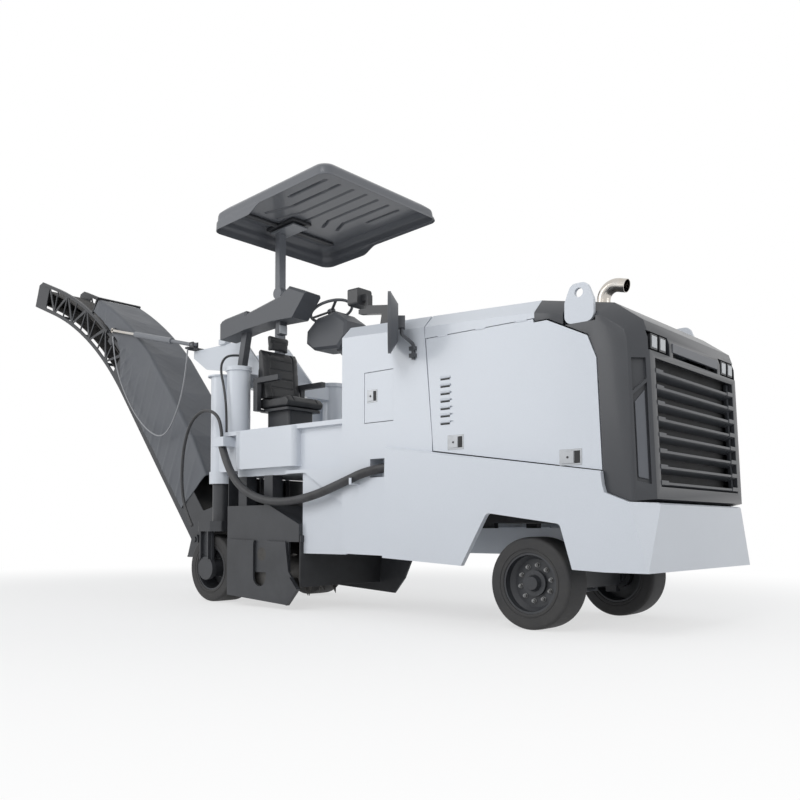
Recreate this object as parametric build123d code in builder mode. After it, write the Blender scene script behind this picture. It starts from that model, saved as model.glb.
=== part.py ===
from build123d import *
import os
from math import atan2, cos, degrees, hypot, radians, sin

os.makedirs("parts", exist_ok=True)

# Cold planer on four solid-rubber wheels, in millimetres.
# +X is forward (engine end), +Y is the machine's left, +Z is up, z = 0 is the ground.
# The origin lies on the ground below the middle of the machine's length.

RIGHT, LEFT = -1, 1
SIDES = (("right", RIGHT), ("left", LEFT))

# ---- driving dimensions ----
front_axle_x = 3700.0
wheelbase = 3670.0
rear_axle_x = front_axle_x - wheelbase
tyre_d = 660.0
tyre_r = tyre_d / 2
rim_r = 215.0
front_tyre_w = 255.0
rear_tyre_w = 300.0
wheel_face_y = 785.0          # outer face of every tyre
body_half = 910.0             # outer face of the skirts
side_half = 868.0             # outer face of cabinet, doors and mask
sheet = 28.0                  # wall of the hood's panels
seat_gap = 0.3                # between pieces that seat on each other
seam = 8.0                    # visible seam round doors
run_gap = 6.0                 # between pieces that pass each other
pin_play = 0.05               # radial play of a pin or shaft in its bore

# ---- hood and skirts ----
front_x = 4650.0
bumper_bottom_z = 434.0
bumper_top_z = 882.0
bumper_join_x = 4350.0
cabinet_rear_x = 1930.0
cabinet_front_x = 2850.0
hood_lean = 44.0              # half the door's rear edge slant
mask_rear_x = 3806.0
roof_top_z = 2326.0           # crown at the mask's rear edge
roof_fall = 0.05              # roof drops this much per unit forward
edge_cut = 105.0              # bevel of roof and mask corners
belt_rear_z = 1366.0          # styling line at the skirt's rear end
belt_front_z = 1092.0         # styling line at the mask
belt_front_x = 4323.0
skirt_rear_x = 2448.0


def roof_z(x):
    """Height of the roof's flat crown at a station."""
    return roof_top_z + (mask_rear_x - x) * roof_fall


def belt_z(x):
    """Height of the styling line between doors and skirts."""
    share = (x - skirt_rear_x) / (belt_front_x - skirt_rear_x)
    return belt_rear_z + share * (belt_front_z - belt_rear_z)


# ---- wheels: revolved tyres on dished rims ----
tyre_round = 28.0
barrel_t = 14.0
disc_t = 20.0
disc_in = 95.0                # dish depth from the tyre's outer face
hub_r = 92.0
hub_len = 110.0
stub_r = 34.0
stub_wall = 18.0

wheel_table = (               # name, axle x, side, tyre width, hub opens outboard
    ("front_right", front_axle_x, RIGHT, front_tyre_w, False),
    ("front_left", front_axle_x, LEFT, front_tyre_w, False),
    ("rear_right", rear_axle_x, RIGHT, rear_tyre_w, True),
    ("rear_left", rear_axle_x, LEFT, rear_tyre_w, True),
)

for name, axle_x, side, width, outboard in wheel_table:
    # the profile plane runs inboard from the wheel's outer face, or outboard from its inner one
    start_y = side * (wheel_face_y - (width if outboard else 0))
    inward = side if outboard else -side
    section = Plane(origin=(axle_x, start_y, tyre_r), x_dir=(0, inward, 0), z_dir=(inward, 0, 0))
    spin = Axis((axle_x, 0, tyre_r), (0, 1, 0))

    with BuildPart() as tyre:
        with BuildSketch(section):
            with BuildLine():
                Polyline(
                    (0, rim_r + seat_gap),
                    (width, rim_r + seat_gap),
                    (width, tyre_r - tyre_round),
                    (width - 0.3 * tyre_round, tyre_r - 0.3 * tyre_round),
                    (width - tyre_round, tyre_r),
                    (tyre_round, tyre_r),
                    (0.3 * tyre_round, tyre_r - 0.3 * tyre_round),
                    (0, tyre_r - tyre_round),
                    close=True,
                )
            make_face()
        revolve(axis=spin)
    tyre.part.label = f"tyre_{name}"
    export_step(tyre.part, f"parts/tyre_{name}.step")

    hub_out = disc_in - stub_wall
    with BuildPart() as rim:
        with BuildSketch(section):
            with BuildLine():
                Polyline(
                    (8, rim_r),
                    (width - 8, rim_r),
                    (width - 8, rim_r - barrel_t),
                    (disc_in + disc_t, rim_r - barrel_t - 12),
                    (disc_in + disc_t, hub_r),
                    (disc_in + hub_len - 20, hub_r),
                    (disc_in + hub_len - 20, stub_r + pin_play),
                    (disc_in - 20, stub_r + pin_play),
                    (disc_in - 20, 0),
                    (hub_out - 45, 0),
                    (hub_out - 45, 46),
                    (hub_out - 10, 60),
                    (hub_out - 10, hub_r),
                    (disc_in, hub_r),
                    (disc_in, rim_r - barrel_t - 30),
                    (disc_in - 30, rim_r - barrel_t),
                    (8, rim_r - barrel_t),
                    close=True,
                )
            make_face()
        revolve(axis=spin)
    rim.part.label = f"rim_{name}"
    export_step(rim.part, f"parts/rim_{name}.step")

# ---- front axle: beam with forked ends, two columns up to the frame ----
rail_y = 320.0
rail_w = 100.0
rail_bottom_z = 520.0
rail_top_z = 720.0
rail_rear_x = 1400.0
rail_front_x = 4330.0
king_y = 510.0
king_r = 14.0
post_r = 28.0
fork_half_h = 124.0           # half the fork's outer height
fork_t = 24.0
beam_half_h = 64.0
beam_end_y = king_y - post_r - 14
column_w = 120.0

with BuildPart() as front_axle:
    with BuildSketch(Plane.XZ.offset(-beam_end_y)):
        with Locations((front_axle_x, tyre_r)):
            Rectangle(140, 2 * beam_half_h)
    extrude(amount=2 * beam_end_y)
    for side in (RIGHT, LEFT):
        with BuildSketch(Plane.XZ.offset(-side * beam_end_y)):
            with Locations((front_axle_x, tyre_r)):
                Rectangle(90, 2 * fork_half_h)
        extrude(amount=side * fork_t)
        for level in (-1, 1):
            lug_z = tyre_r + level * (fork_half_h - fork_t / 2)
            with Locations((front_axle_x, side * (beam_end_y + 20), lug_z)):
                Box(76, 90, fork_t)
            with Locations((front_axle_x, side * king_y, lug_z)):
                Cylinder(radius=king_r + pin_play, height=fork_t + 1, mode=Mode.SUBTRACT)
        with Locations((front_axle_x, side * rail_y, (tyre_r + rail_bottom_z) / 2)):
            Box(column_w, rail_w, rail_bottom_z - tyre_r)
front_axle.part.label = "front_axle"
export_step(front_axle.part, "parts/front_axle.step")

# ---- steering knuckles: post on the king pin, stub axle, steering arm ----
arm_reach = 150.0
arm_t = 20.0
hub_face_front_y = wheel_face_y - (disc_in + hub_len - 20)
stub_end_y = wheel_face_y - (disc_in - 20) - 2
arm_z = tyre_r - fork_half_h + fork_t + run_gap + arm_t / 2

for name, side in SIDES:
    with BuildPart() as knuckle:
        with Locations((front_axle_x, side * king_y, tyre_r)):
            Cylinder(radius=king_r, height=2 * fork_half_h)
            Cylinder(radius=post_r, height=2 * (fork_half_h - fork_t - run_gap))
        with BuildSketch(Plane.XZ.offset(-side * king_y)):
            with Locations((front_axle_x, tyre_r)):
                Circle(stub_r)
        extrude(amount=-side * (stub_end_y - king_y))
        with BuildSketch(Plane.XZ.offset(-side * (king_y + 12))):
            with Locations((front_axle_x, tyre_r)):
                Circle(60)
        extrude(amount=-side * (hub_face_front_y - seat_gap - king_y - 12))
        with BuildSketch(Plane.XY.offset(arm_z - arm_t / 2)):
            with BuildLine():
                # straight back past the fork's plate, then in to the tie rod
                Polyline(
                    (front_axle_x + 10, side * (king_y - 14)),
                    (front_axle_x + 10, side * (king_y + 20)),
                    (front_axle_x - 80, side * (king_y + 14)),
                    (front_axle_x - arm_reach - 20, side * (king_y - 20)),
                    (front_axle_x - arm_reach - 20, side * (king_y - 64)),
                    (front_axle_x - arm_reach + 10, side * (king_y - 62)),
                    (front_axle_x - 84, side * (king_y - 10)),
                    close=True,
                )
            make_face()
        extrude(amount=arm_t)
    knuckle.part.label = f"knuckle_{name}"
    export_step(knuckle.part, f"parts/knuckle_{name}.step")

# ---- tie rod between the steering arms ----
rod_r = 13.0
rod_z = arm_z - arm_t / 2 - run_gap - rod_r
with BuildPart() as tie_rod:
    with BuildSketch(Plane.XZ.offset(king_y - 42)):
        with Locations((front_axle_x - arm_reach, rod_z)):
            Circle(rod_r)
    extrude(amount=-2 * (king_y - 42))
    for side in (RIGHT, LEFT):
        pin_top_z = arm_z - arm_t / 2 - seat_gap
        with BuildSketch(Plane.XY.offset(rod_z - rod_r)):
            with Locations((front_axle_x - arm_reach, side * (king_y - 42))):
                Circle(20)
        extrude(amount=pin_top_z - rod_z + rod_r)
tie_rod.part.label = "tie_rod"
export_step(tie_rod.part, "parts/tie_rod.step")

# ---- main frame: two rails, cross members and the rear side plates ----
platform_bottom_z = 1205.0
rear_plate_y = 820.0

with BuildPart() as main_frame:
    for side in (RIGHT, LEFT):
        with BuildSketch(Plane.XZ.offset(-side * rail_y)):
            with BuildLine():
                Polyline(
                    (rail_rear_x, rail_bottom_z),
                    (rail_front_x, rail_bottom_z),
                    (rail_front_x, rail_top_z),
                    (rail_rear_x + 160, rail_top_z),
                    (rail_rear_x + 160, platform_bottom_z),
                    (rail_rear_x, platform_bottom_z),
                    close=True,
                )
            make_face()
        extrude(amount=rail_w / 2, both=True)
        with BuildSketch(Plane.XZ.offset(-side * rear_plate_y)):
            with BuildLine():
                Polyline(
                    (rail_rear_x, rail_bottom_z - 20),
                    (cabinet_rear_x, rail_bottom_z - 20),
                    (cabinet_rear_x, platform_bottom_z),
                    (rail_rear_x, platform_bottom_z),
                    close=True,
                )
            make_face()
        extrude(amount=side * 20)
    for cross_x, cross_w in ((cabinet_rear_x - 60, 2 * rear_plate_y), (2700, 2 * rail_y), (4280, 2 * rail_y)):
        with Locations((cross_x, 0, (rail_bottom_z + rail_top_z) / 2)):
            Box(100, cross_w, rail_top_z - rail_bottom_z - 40)
main_frame.part.label = "main_frame"
export_step(main_frame.part, "parts/main_frame.step")

# ---- skirts with the front wheel arches ----
arch = (                      # offset from the front axle, height
    (-508, 440), (-276, 829), (319, 748), (414, 440),
)
for name, side in SIDES:
    with BuildPart() as skirt:
        with BuildSketch(Plane.XZ.offset(-side * side_half)):
            with BuildLine():
                Polyline(
                    (skirt_rear_x - 28, 486),
                    (front_axle_x + arch[0][0], 444),
                    (front_axle_x + arch[3][0], 444),
                    (bumper_join_x, bumper_bottom_z),
                    (bumper_join_x, 951),
                    (belt_front_x + 12, 1000),
                    (belt_front_x, belt_front_z),
                    (skirt_rear_x, belt_rear_z),
                    close=True,
                )
            make_face()
            with BuildLine(mode=Mode.PRIVATE) as arch_line:
                FilletPolyline(
                    (front_axle_x + arch[0][0], arch[0][1] - 50),
                    (front_axle_x + arch[0][0], arch[0][1]),
                    (front_axle_x + arch[1][0], arch[1][1]),
                    (front_axle_x + arch[2][0], arch[2][1]),
                    (front_axle_x + arch[3][0], arch[3][1]),
                    (front_axle_x + arch[3][0], arch[3][1] - 50),
                    radius=40,
                    close=True,
                )
            make_face(arch_line.edges(), mode=Mode.SUBTRACT)
        extrude(amount=-side * (body_half - side_half))
        top_edges = skirt.edges().filter_by(
            lambda e: abs(abs(e.center().Y) - body_half) < 1 and e.center().Z > belt_front_z + 5
        )
        chamfer(top_edges, 14)
    skirt.part.label = f"skirt_{name}"
    export_step(skirt.part, f"parts/skirt_{name}.step")

# ---- front bumper: folded plate box, corner facets running out at the bottom ----
with BuildPart() as front_bumper:
    with BuildSketch(Plane.XZ.offset(body_half)):
        with BuildLine():
            Polyline(
                (bumper_join_x, bumper_bottom_z),
                (front_x, bumper_bottom_z),
                (front_x, bumper_top_z - 12),
                (front_x - 14, bumper_top_z),
                (4516, bumper_top_z + 4),
                (bumper_join_x, 951),
                close=True,
            )
        make_face()
    extrude(amount=-2 * body_half)
    with BuildSketch(Plane.XY.offset(bumper_bottom_z)):
        with BuildLine():
            Polyline(
                (bumper_join_x, -side_half), (front_x - 180, -side_half), (front_x - 30, -650),
                (front_x - 30, 650), (front_x - 180, side_half), (bumper_join_x, side_half),
                close=True,
            )
        make_face()
    extrude(amount=bumper_top_z - 36 - bumper_bottom_z, mode=Mode.SUBTRACT)
    with BuildSketch(Plane.XZ.offset(side_half)):
        with BuildLine():
            Polyline((bumper_join_x, bumper_top_z), (4480, bumper_top_z), (bumper_join_x, 960), close=True)
        make_face()
    extrude(amount=-2 * side_half, mode=Mode.SUBTRACT)
    for side in (RIGHT, LEFT):
        facet = Plane(
            origin=(front_x, side * 715, bumper_top_z + 5),
            x_dir=Vector(-134, side * (body_half - 715), 0),
            z_dir=Vector(-134, side * (body_half - 715), 0).cross(
                Vector(0, side * (body_half - 715), bumper_bottom_z - bumper_top_z)
            ),
        )
        with BuildSketch(facet):
            Rectangle(1200, 1400)
        extrude(amount=-side * 200, mode=Mode.SUBTRACT)
front_bumper.part.label = "front_bumper"
export_step(front_bumper.part, "parts/front_bumper.step")

# ---- cabinet between platform and engine: solid housing with the service pocket ----
cabinet_bottom_z = 510.0
gusset_x = 1457.0
service_x = (2184.0, 2500.0)
service_z = (1572.0, 1990.0)
service_t = 22.0
hook_x = 2120.0
hook_z = 1078.0

with BuildPart() as cabinet:
    with BuildSketch(Plane.XZ.offset(side_half)):
        with BuildLine():
            Polyline(
                (cabinet_rear_x, cabinet_bottom_z),
                (cabinet_front_x + hood_lean, cabinet_bottom_z - 20),
                (cabinet_front_x + hood_lean, 1400),
                (cabinet_front_x - hood_lean, roof_z(cabinet_front_x - hood_lean)),
                (cabinet_rear_x, roof_z(cabinet_rear_x)),
                close=True,
            )
        make_face()
    extrude(amount=-2 * side_half)
    roof_edges = cabinet.edges().filter_by(
        lambda e: abs(abs(e.center().Y) - side_half) < 1 and e.center().Z > roof_top_z
        and e.length > 500
    )
    chamfer(roof_edges, edge_cut)
    with Locations((sum(service_x) / 2, -side_half + 90, sum(service_z) / 2)):
        Box(service_x[1] - service_x[0], 180, service_z[1] - service_z[0], mode=Mode.SUBTRACT)
    with Locations((2250, 0, 600)):
        Box(1400, 2 * (side_half - 20), 260, mode=Mode.SUBTRACT)
    # slot where the hoses come out, and the hook that carries them
    with Locations((2425, -side_half + 75, 1205)):
        Box(350, 150, 150, mode=Mode.SUBTRACT)
    with Locations((hook_x, -side_half - 50, hook_z)):
        Box(24, 100, 8)
    with Locations((hook_x, -side_half - 96, hook_z + 25)):
        Box(24, 8, 50)
    with Locations((hook_x, -side_half + 10, hook_z)):
        Box(60, 20, 60)
cabinet.part.label = "cabinet"
export_step(cabinet.part, "parts/cabinet.step")

# ---- service door in the cabinet's right side, hinged at its front edge ----
with BuildPart() as service_door:
    with Locations(((sum(service_x) + run_gap - seat_gap) / 2, -side_half + service_t / 2, sum(service_z) / 2)):
        Box(service_x[1] - service_x[0] - run_gap - seat_gap, service_t, service_z[1] - service_z[0] - 2 * run_gap)
    latch_x = service_x[0] + 90
    with Locations((latch_x, -side_half, 1790)):
        Box(110, 8, 100, mode=Mode.SUBTRACT)
    with Locations((latch_x - 14, -side_half + 3, 1790)):
        Box(70, 4, 84)
service_door.part.label = "service_door"
export_step(service_door.part, "parts/service_door.step")

# ---- engine doors: big side panels hung from the roof's edge ----
door_top_z = 2175.0
for name, side in SIDES:
    rear_low = cabinet_front_x + hood_lean
    with BuildPart() as engine_door:
        with BuildSketch(Plane.XZ.offset(-side * (side_half - sheet))):
            with BuildLine():
                Polyline(
                    (rear_low + seam + 5, belt_z(rear_low) + seam),
                    (belt_front_x - seam, belt_z(belt_front_x) + seam),
                    (4286 - seam, 1844),
                    (4222 - seam, 2000),
                    (3906, door_top_z - 25),
                    (3800, door_top_z - 25),
                    (3795, door_top_z),
                    (cabinet_front_x - hood_lean + 30, door_top_z),
                    close=True,
                )
            make_face()
        extrude(amount=-side * sheet)
        for i in range(7):
            vent_z = 1850 - i * 55
            with Locations((3040 + i * 4, side * side_half, vent_z)):
                Box(70, 16, 12, mode=Mode.SUBTRACT)
        # hinge barrels on the upper edge, running under the roof's lip
        for hinge_x in (3000, 3350, 3700):
            with Locations((hinge_x, side * side_half, door_top_z)):
                Cylinder(radius=run_gap - seat_gap, height=90, rotation=(0, 90, 0))
    engine_door.part.label = f"engine_door_{name}"
    export_step(engine_door.part, f"parts/engine_door_{name}.step")

# ---- hood roof: bevelled sheet cover between cabinet and mask ----
with BuildPart() as hood_roof:
    for x in (cabinet_front_x - hood_lean + 20, mask_rear_x - seat_gap):
        top = roof_z(x)
        low = door_top_z + run_gap
        with BuildSketch(Plane.YZ.offset(x)):
            with BuildLine():
                Polyline(
                    (-side_half, low),
                    (-side_half, top - edge_cut),
                    (-side_half + edge_cut, top),
                    (side_half - edge_cut, top),
                    (side_half, top - edge_cut),
                    (side_half, low),
                    (side_half - sheet, low),
                    (side_half - sheet, top - edge_cut - sheet / 2),
                    (side_half - edge_cut - sheet / 2, top - sheet),
                    (-side_half + edge_cut + sheet / 2, top - sheet),
                    (-side_half + sheet, top - edge_cut - sheet / 2),
                    (-side_half + sheet, low),
                    close=True,
                )
            make_face()
    loft(ruled=True)
hood_roof.part.label = "hood_roof"
export_step(hood_roof.part, "parts/hood_roof.step")

# ---- front mask: bevelled black shell with grille, lamp and sign openings ----
brow_x, brow_z = 4560.0, 2070.0
mask_top_x, mask_top_z = 4360.0, 2215.0
face_top_x, face_top_z = 4600.0, 1950.0
chin_x, chin_z = 4645.0, 905.0
grille_half = 690.0
grille_z = (985.0, 1825.0)
sign_half = 400.0
sign_z = (1868.0, 1960.0)
lamp_y = (455.0, 770.0)
lamp_z = (1868.0, 1995.0)
eye_x = 4153.0
eye_half = 109.0
eye_t = 28.0
eye_foot_z = 2094.0
exhaust_x, exhaust_y = 4120.0, -450.0
exhaust_r = 48.0
exhaust_wall = 4.0


def mask_outline(inset):
    """Side outline of the mask, or of the hollow inside it when inset is set."""
    return (
        (mask_rear_x - 40 * (inset > 0), roof_z(mask_rear_x) - inset),
        (mask_top_x - inset / 2, mask_top_z - inset),
        (brow_x - inset, brow_z - inset / 2),
        (face_top_x - inset, face_top_z),
        (chin_x - inset, chin_z + inset),
    )


with BuildPart() as mask_hollow:
    with BuildSketch(Plane.XZ.offset(side_half - sheet)):
        with BuildLine():
            Polyline(*mask_outline(sheet), (3700, chin_z + sheet), close=True)
        make_face()
    extrude(amount=-2 * (side_half - sheet))
    inner_edges = mask_hollow.edges().filter_by(
        lambda e: abs(abs(e.center().Y) - side_half + sheet) < 1
        and (e.center().Z > brow_z - 40 or e.center().X > face_top_x - 60)
        and e.center().Z > chin_z + 60
    )
    chamfer(inner_edges, edge_cut - 0.6 * sheet)

with BuildPart() as front_mask:
    with BuildSketch(Plane.XZ.offset(side_half)):
        with BuildLine():
            Polyline(
                *mask_outline(0),
                (4516, 889),
                (4343, 957),
                (belt_front_x, 1098),
                (4286, 1844),
                (4222, 2006),
                (3918, door_top_z - 18),
                (mask_rear_x, door_top_z - 18),
                close=True,
            )
        make_face()
    extrude(amount=-2 * side_half)
    outer_edges = front_mask.edges().filter_by(
        lambda e: abs(abs(e.center().Y) - side_half) < 1
        and (e.center().Z > brow_z - 10 or e.center().X > face_top_x - 25)
        and e.center().Z > chin_z + 60 and e.center().X > mask_rear_x + 10
        and not (e.center().X < 4300 and e.center().Z < 2180)
    )
    chamfer(outer_edges, edge_cut)
    add(mask_hollow.part, mode=Mode.SUBTRACT)
    with Locations((face_top_x, 0, sum(grille_z) / 2)):
        Box(300, 2 * grille_half, grille_z[1] - grille_z[0], mode=Mode.SUBTRACT)
    with Locations((face_top_x, 0, sum(sign_z) / 2)):
        Box(300, 2 * sign_half, sign_z[1] - sign_z[0], mode=Mode.SUBTRACT)
    for side in (RIGHT, LEFT):
        with Locations((face_top_x, side * sum(lamp_y) / 2, sum(lamp_z) / 2)):
            Box(300, lamp_y[1] - lamp_y[0], lamp_z[1] - lamp_z[0], mode=Mode.SUBTRACT)
        with Locations((eye_x, side * (side_half - eye_t / 2), eye_foot_z + 200)):
            Box(2 * eye_half + 24, eye_t + 8, 400, mode=Mode.SUBTRACT)
    with BuildSketch(Plane.XY.offset(1950)):
        with Locations((exhaust_x, exhaust_y)):
            Circle(exhaust_r + seat_gap)
    extrude(amount=400, mode=Mode.SUBTRACT)
front_mask.part.label = "front_mask"
export_step(front_mask.part, "parts/front_mask.step")

# ---- grille: eight raked slats with thick stepped ends, held by two strips ----
slat_count = 8
slat_low_z = 1018.0
slat_pitch = 104.0
face_lean = (face_top_x - chin_x) / (face_top_z - chin_z)

with BuildPart() as grille:
    for i in range(slat_count):
        z = slat_low_z + i * slat_pitch
        x = chin_x + (z - chin_z) * face_lean
        with BuildSketch(Plane.XZ.offset(grille_half)):
            with BuildLine():
                Polyline((x, z), (x, z - 16), (x - 60, z - 46), (x - 60, z - 26), close=True)
            make_face()
        extrude(amount=-2 * grille_half)
        for side in (RIGHT, LEFT):
            with BuildSketch(Plane.XZ.offset(-side * (grille_half - 110))):
                with BuildLine():
                    Polyline((x + 4, z + 10), (x + 4, z - 18), (x - 60, z - 48), (x - 60, z - 16), close=True)
                make_face()
            extrude(amount=-side * 110)
    for side in (RIGHT, LEFT):
        with BuildSketch(Plane.XZ.offset(-side * (grille_half - 40))):
            with BuildLine():
                Polyline(
                    (chin_x - 58, grille_z[0]),
                    (chin_x - 34, grille_z[0]),
                    (chin_x - 34 + (grille_z[1] - grille_z[0]) * face_lean, grille_z[1]),
                    (chin_x - 58 + (grille_z[1] - grille_z[0]) * face_lean, grille_z[1]),
                    close=True,
                )
            make_face()
        extrude(amount=-side * 40)
grille.part.label = "grille"
export_step(grille.part, "parts/grille.step")

# ---- engine block and radiator on their mounts ----
with BuildPart() as engine_block:
    with Locations((4230, 0, 1300)):
        Box(110, 1240, 1000)
    for side in (RIGHT, LEFT):
        with Locations((4260, side * rail_y, (rail_top_z + 800) / 2)):
            Box(80, 80, 800 - rail_top_z)
    with Locations((3480, 0, 1230)):
        Box(1150, 700, 940)
    for x in (3050, 3900):
        for side in (RIGHT, LEFT):
            with Locations((x, side * rail_y, (rail_top_z + 760) / 2)):
                Box(110, 60, 760 - rail_top_z)
engine_block.part.label = "engine_block"
export_step(engine_block.part, "parts/engine_block.step")

# ---- front lamps: two square work lamps behind each lamp opening ----
lamp_x = 4557.0
lamp_back_x = lamp_x - 58.8
lamp_pitch = 130.0
with BuildPart() as front_lamps:
    for side in (RIGHT, LEFT):
        mid_y = side * sum(lamp_y) / 2
        with Locations((lamp_back_x, mid_y, sum(lamp_z) / 2)):
            Box(16, lamp_y[1] - lamp_y[0] + 40, lamp_z[1] - lamp_z[0] + 40)
        for k in (-0.5, 0.5):
            with Locations((lamp_x, mid_y + k * lamp_pitch, sum(lamp_z) / 2)):
                Box(60, 96, 96)
            with Locations(((lamp_x + lamp_back_x) / 2 - 15, mid_y + k * lamp_pitch, sum(lamp_z) / 2)):
                Box(50, 40, 40)
front_lamps.part.label = "front_lamps"
export_step(front_lamps.part, "parts/front_lamps.step")

# ---- lifting eyes at the hood's front corners ----
eye_r = 32.0
eye_top_z = 2362.0
with BuildPart() as lifting_eyes:
    for side in (RIGHT, LEFT):
        with BuildSketch(Plane.XZ.offset(-side * (side_half - eye_t))):
            with BuildLine():
                Polyline(
                    (eye_x - eye_half, eye_foot_z),
                    (eye_x + eye_half, eye_foot_z),
                    (eye_x + eye_half, eye_top_z - 120),
                    (eye_x + 60, eye_top_z),
                    (eye_x - 60, eye_top_z),
                    (eye_x - eye_half, eye_top_z - 120),
                    close=True,
                )
            eye_face = make_face()
            fillet(eye_face.vertices().group_by(Axis.Z)[-1], 55)
            with Locations((eye_x, eye_top_z - 64)):
                Circle(eye_r, mode=Mode.SUBTRACT)
        extrude(amount=-side * eye_t)
lifting_eyes.part.label = "lifting_eyes"
export_step(lifting_eyes.part, "parts/lifting_eyes.step")

# ---- exhaust: stainless elbow through the roof ----
with BuildPart() as exhaust:
    with BuildLine(Plane(origin=(exhaust_x, exhaust_y, 0), x_dir=(1, 0, 0), z_dir=(0, -1, 0))):
        rise = Line((0, 1700), (0, 2330))
        bend = JernArc(start=(0, 2330), tangent=(0, 1), radius=95, arc_size=-105)
        PolarLine(start=(95 + 95 * cos(radians(75)), 2330 + 95 * sin(radians(75))), length=60, angle=-15)
    with BuildSketch(Plane.XY.offset(1700)):
        with Locations((exhaust_x, exhaust_y)):
            Circle(exhaust_r)
            Circle(exhaust_r - exhaust_wall, mode=Mode.SUBTRACT)
    sweep()
exhaust.part.label = "exhaust"
export_step(exhaust.part, "parts/exhaust.step")

# ---- rear frame: cross beam, arms, leg guides and the taller pivot cups ----
leg_y = 650.0
leg_r = 92.0
leg_fit = 0.05
guide_r = 113.0
guide_z = (1220.0, 2230.0)
guide_end = 30.0
cup_x = 285.0
cup_r = 125.0
cup_top_z = 2300.0
deck_z = 1640.0
deck_t = 40.0
arm_low_z = 1270.0
beam_rear_x = 330.0
beam_front_x = 470.0
arm_half_y = leg_y + 90
clamp_x = 330.0
clamp_w = 190.0
clamp_z = (1500.0, 1590.0)

with BuildPart() as rear_frame:
    with Locations(((beam_rear_x + beam_front_x) / 2, 0, (arm_low_z + deck_z - deck_t) / 2)):
        Box(beam_front_x - beam_rear_x, 2 * 790, deck_z - deck_t - arm_low_z)
    for side in (RIGHT, LEFT):
        with Locations(((rear_axle_x + beam_front_x) / 2, side * leg_y, (arm_low_z + deck_z - deck_t) / 2)):
            Box(beam_front_x - rear_axle_x, 180, deck_z - deck_t - arm_low_z)
        with BuildSketch(Plane.XY.offset(guide_z[0])):
            with Locations((rear_axle_x, side * leg_y)):
                Circle(guide_r)
        extrude(amount=guide_z[1] - guide_z[0])
        with BuildSketch(Plane.XY.offset(guide_z[0] - 60)):
            with Locations((rear_axle_x, side * leg_y)):
                Circle(guide_r + 12)
        extrude(amount=120)
        with BuildSketch(Plane.XY.offset(arm_low_z)):
            with Locations((cup_x, side * leg_y)):
                Circle(cup_r - 10)
        extrude(amount=cup_top_z - arm_low_z)
        with BuildSketch(Plane.XY.offset(cup_top_z - 40)):
            with Locations((cup_x, side * leg_y)):
                Circle(cup_r + 4)
        extrude(amount=40)
        with BuildSketch(Plane.XY.offset(guide_z[0] - 60)):
            with Locations((rear_axle_x, side * leg_y)):
                Circle(leg_r + leg_fit)
        extrude(amount=guide_z[1] - guide_end - guide_z[0] + 60, mode=Mode.SUBTRACT)
        with BuildSketch(Plane.XY.offset(guide_z[1])):
            with Locations((rear_axle_x - 12, side * leg_y)):
                Circle(guide_r + 24)
        extrude(amount=14)
    # clamp block for the hoses on the right arm
    with Locations((clamp_x, -(arm_half_y + clamp_w / 2), (clamp_z[0] + clamp_z[1]) / 2)):
        Box(160, clamp_w, clamp_z[1] - clamp_z[0])
rear_frame.part.label = "rear_frame"
export_step(rear_frame.part, "parts/rear_frame.step")

# ---- rear legs: lifting column, bracket over the tyre, outboard arm and hub motor ----
bracket_low_z = tyre_d + 30
bracket_top_z = 790.0
leg_top_z = 1930.0
arm_in_y = wheel_face_y + 14
arm_out_y = 862.0
motor_r = 112.0

for name, side in SIDES:
    with BuildPart() as leg:
        with BuildSketch(Plane.XY.offset(bracket_top_z - 20)):
            with Locations((rear_axle_x, side * leg_y)):
                Circle(leg_r)
        extrude(amount=leg_top_z - bracket_top_z + 20)
        with BuildSketch(Plane.XY.offset(bracket_low_z)) as cap_outline:
            with BuildLine():
                Polyline(
                    (rear_axle_x - 150, side * (leg_y - 110)),
                    (rear_axle_x + 190, side * (leg_y - 150)),
                    (rear_axle_x + 190, side * arm_in_y),
                    (rear_axle_x + 90, side * arm_out_y),
                    (rear_axle_x - 100, side * arm_out_y),
                    (rear_axle_x - 150, side * arm_in_y),
                    close=True,
                )
            make_face()
            fillet(cap_outline.vertices(), 30)
        extrude(amount=bracket_top_z - bracket_low_z)
        with BuildSketch(Plane.XZ.offset(-side * arm_in_y)):
            with BuildLine():
                Polyline(
                    (rear_axle_x - 95, bracket_low_z + 20),
                    (rear_axle_x - 80, tyre_r),
                    (rear_axle_x + 80, tyre_r),
                    (rear_axle_x + 75, bracket_low_z + 20),
                    close=True,
                )
            make_face()
        extrude(amount=-side * 26)
        for rib_x in (-70, 50):
            with Locations((rear_axle_x + rib_x, side * (arm_in_y + 40), (tyre_r + bracket_low_z) / 2 + 60)):
                Box(18, 40, bracket_low_z - tyre_r - 60)
        with BuildSketch(Plane.XZ.offset(-side * arm_in_y)):
            with Locations((rear_axle_x, tyre_r)):
                Circle(motor_r)
        extrude(amount=-side * 46)
        with BuildSketch(Plane.XZ.offset(-side * arm_in_y)):
            with Locations((rear_axle_x, tyre_r)):
                Circle(motor_r - 26)
        extrude(amount=side * (arm_in_y - wheel_face_y + rear_tyre_w - disc_in - hub_len + 20 - seat_gap))
        with BuildSketch(Plane.XZ.offset(-side * arm_in_y)):
            with Locations((rear_axle_x, tyre_r)):
                Circle(stub_r)
        extrude(amount=side * (arm_in_y - wheel_face_y + rear_tyre_w - disc_in + 20 - 2))
    leg.part.label = f"leg_{name}"
    export_step(leg.part, f"parts/leg_{name}.step")

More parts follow.
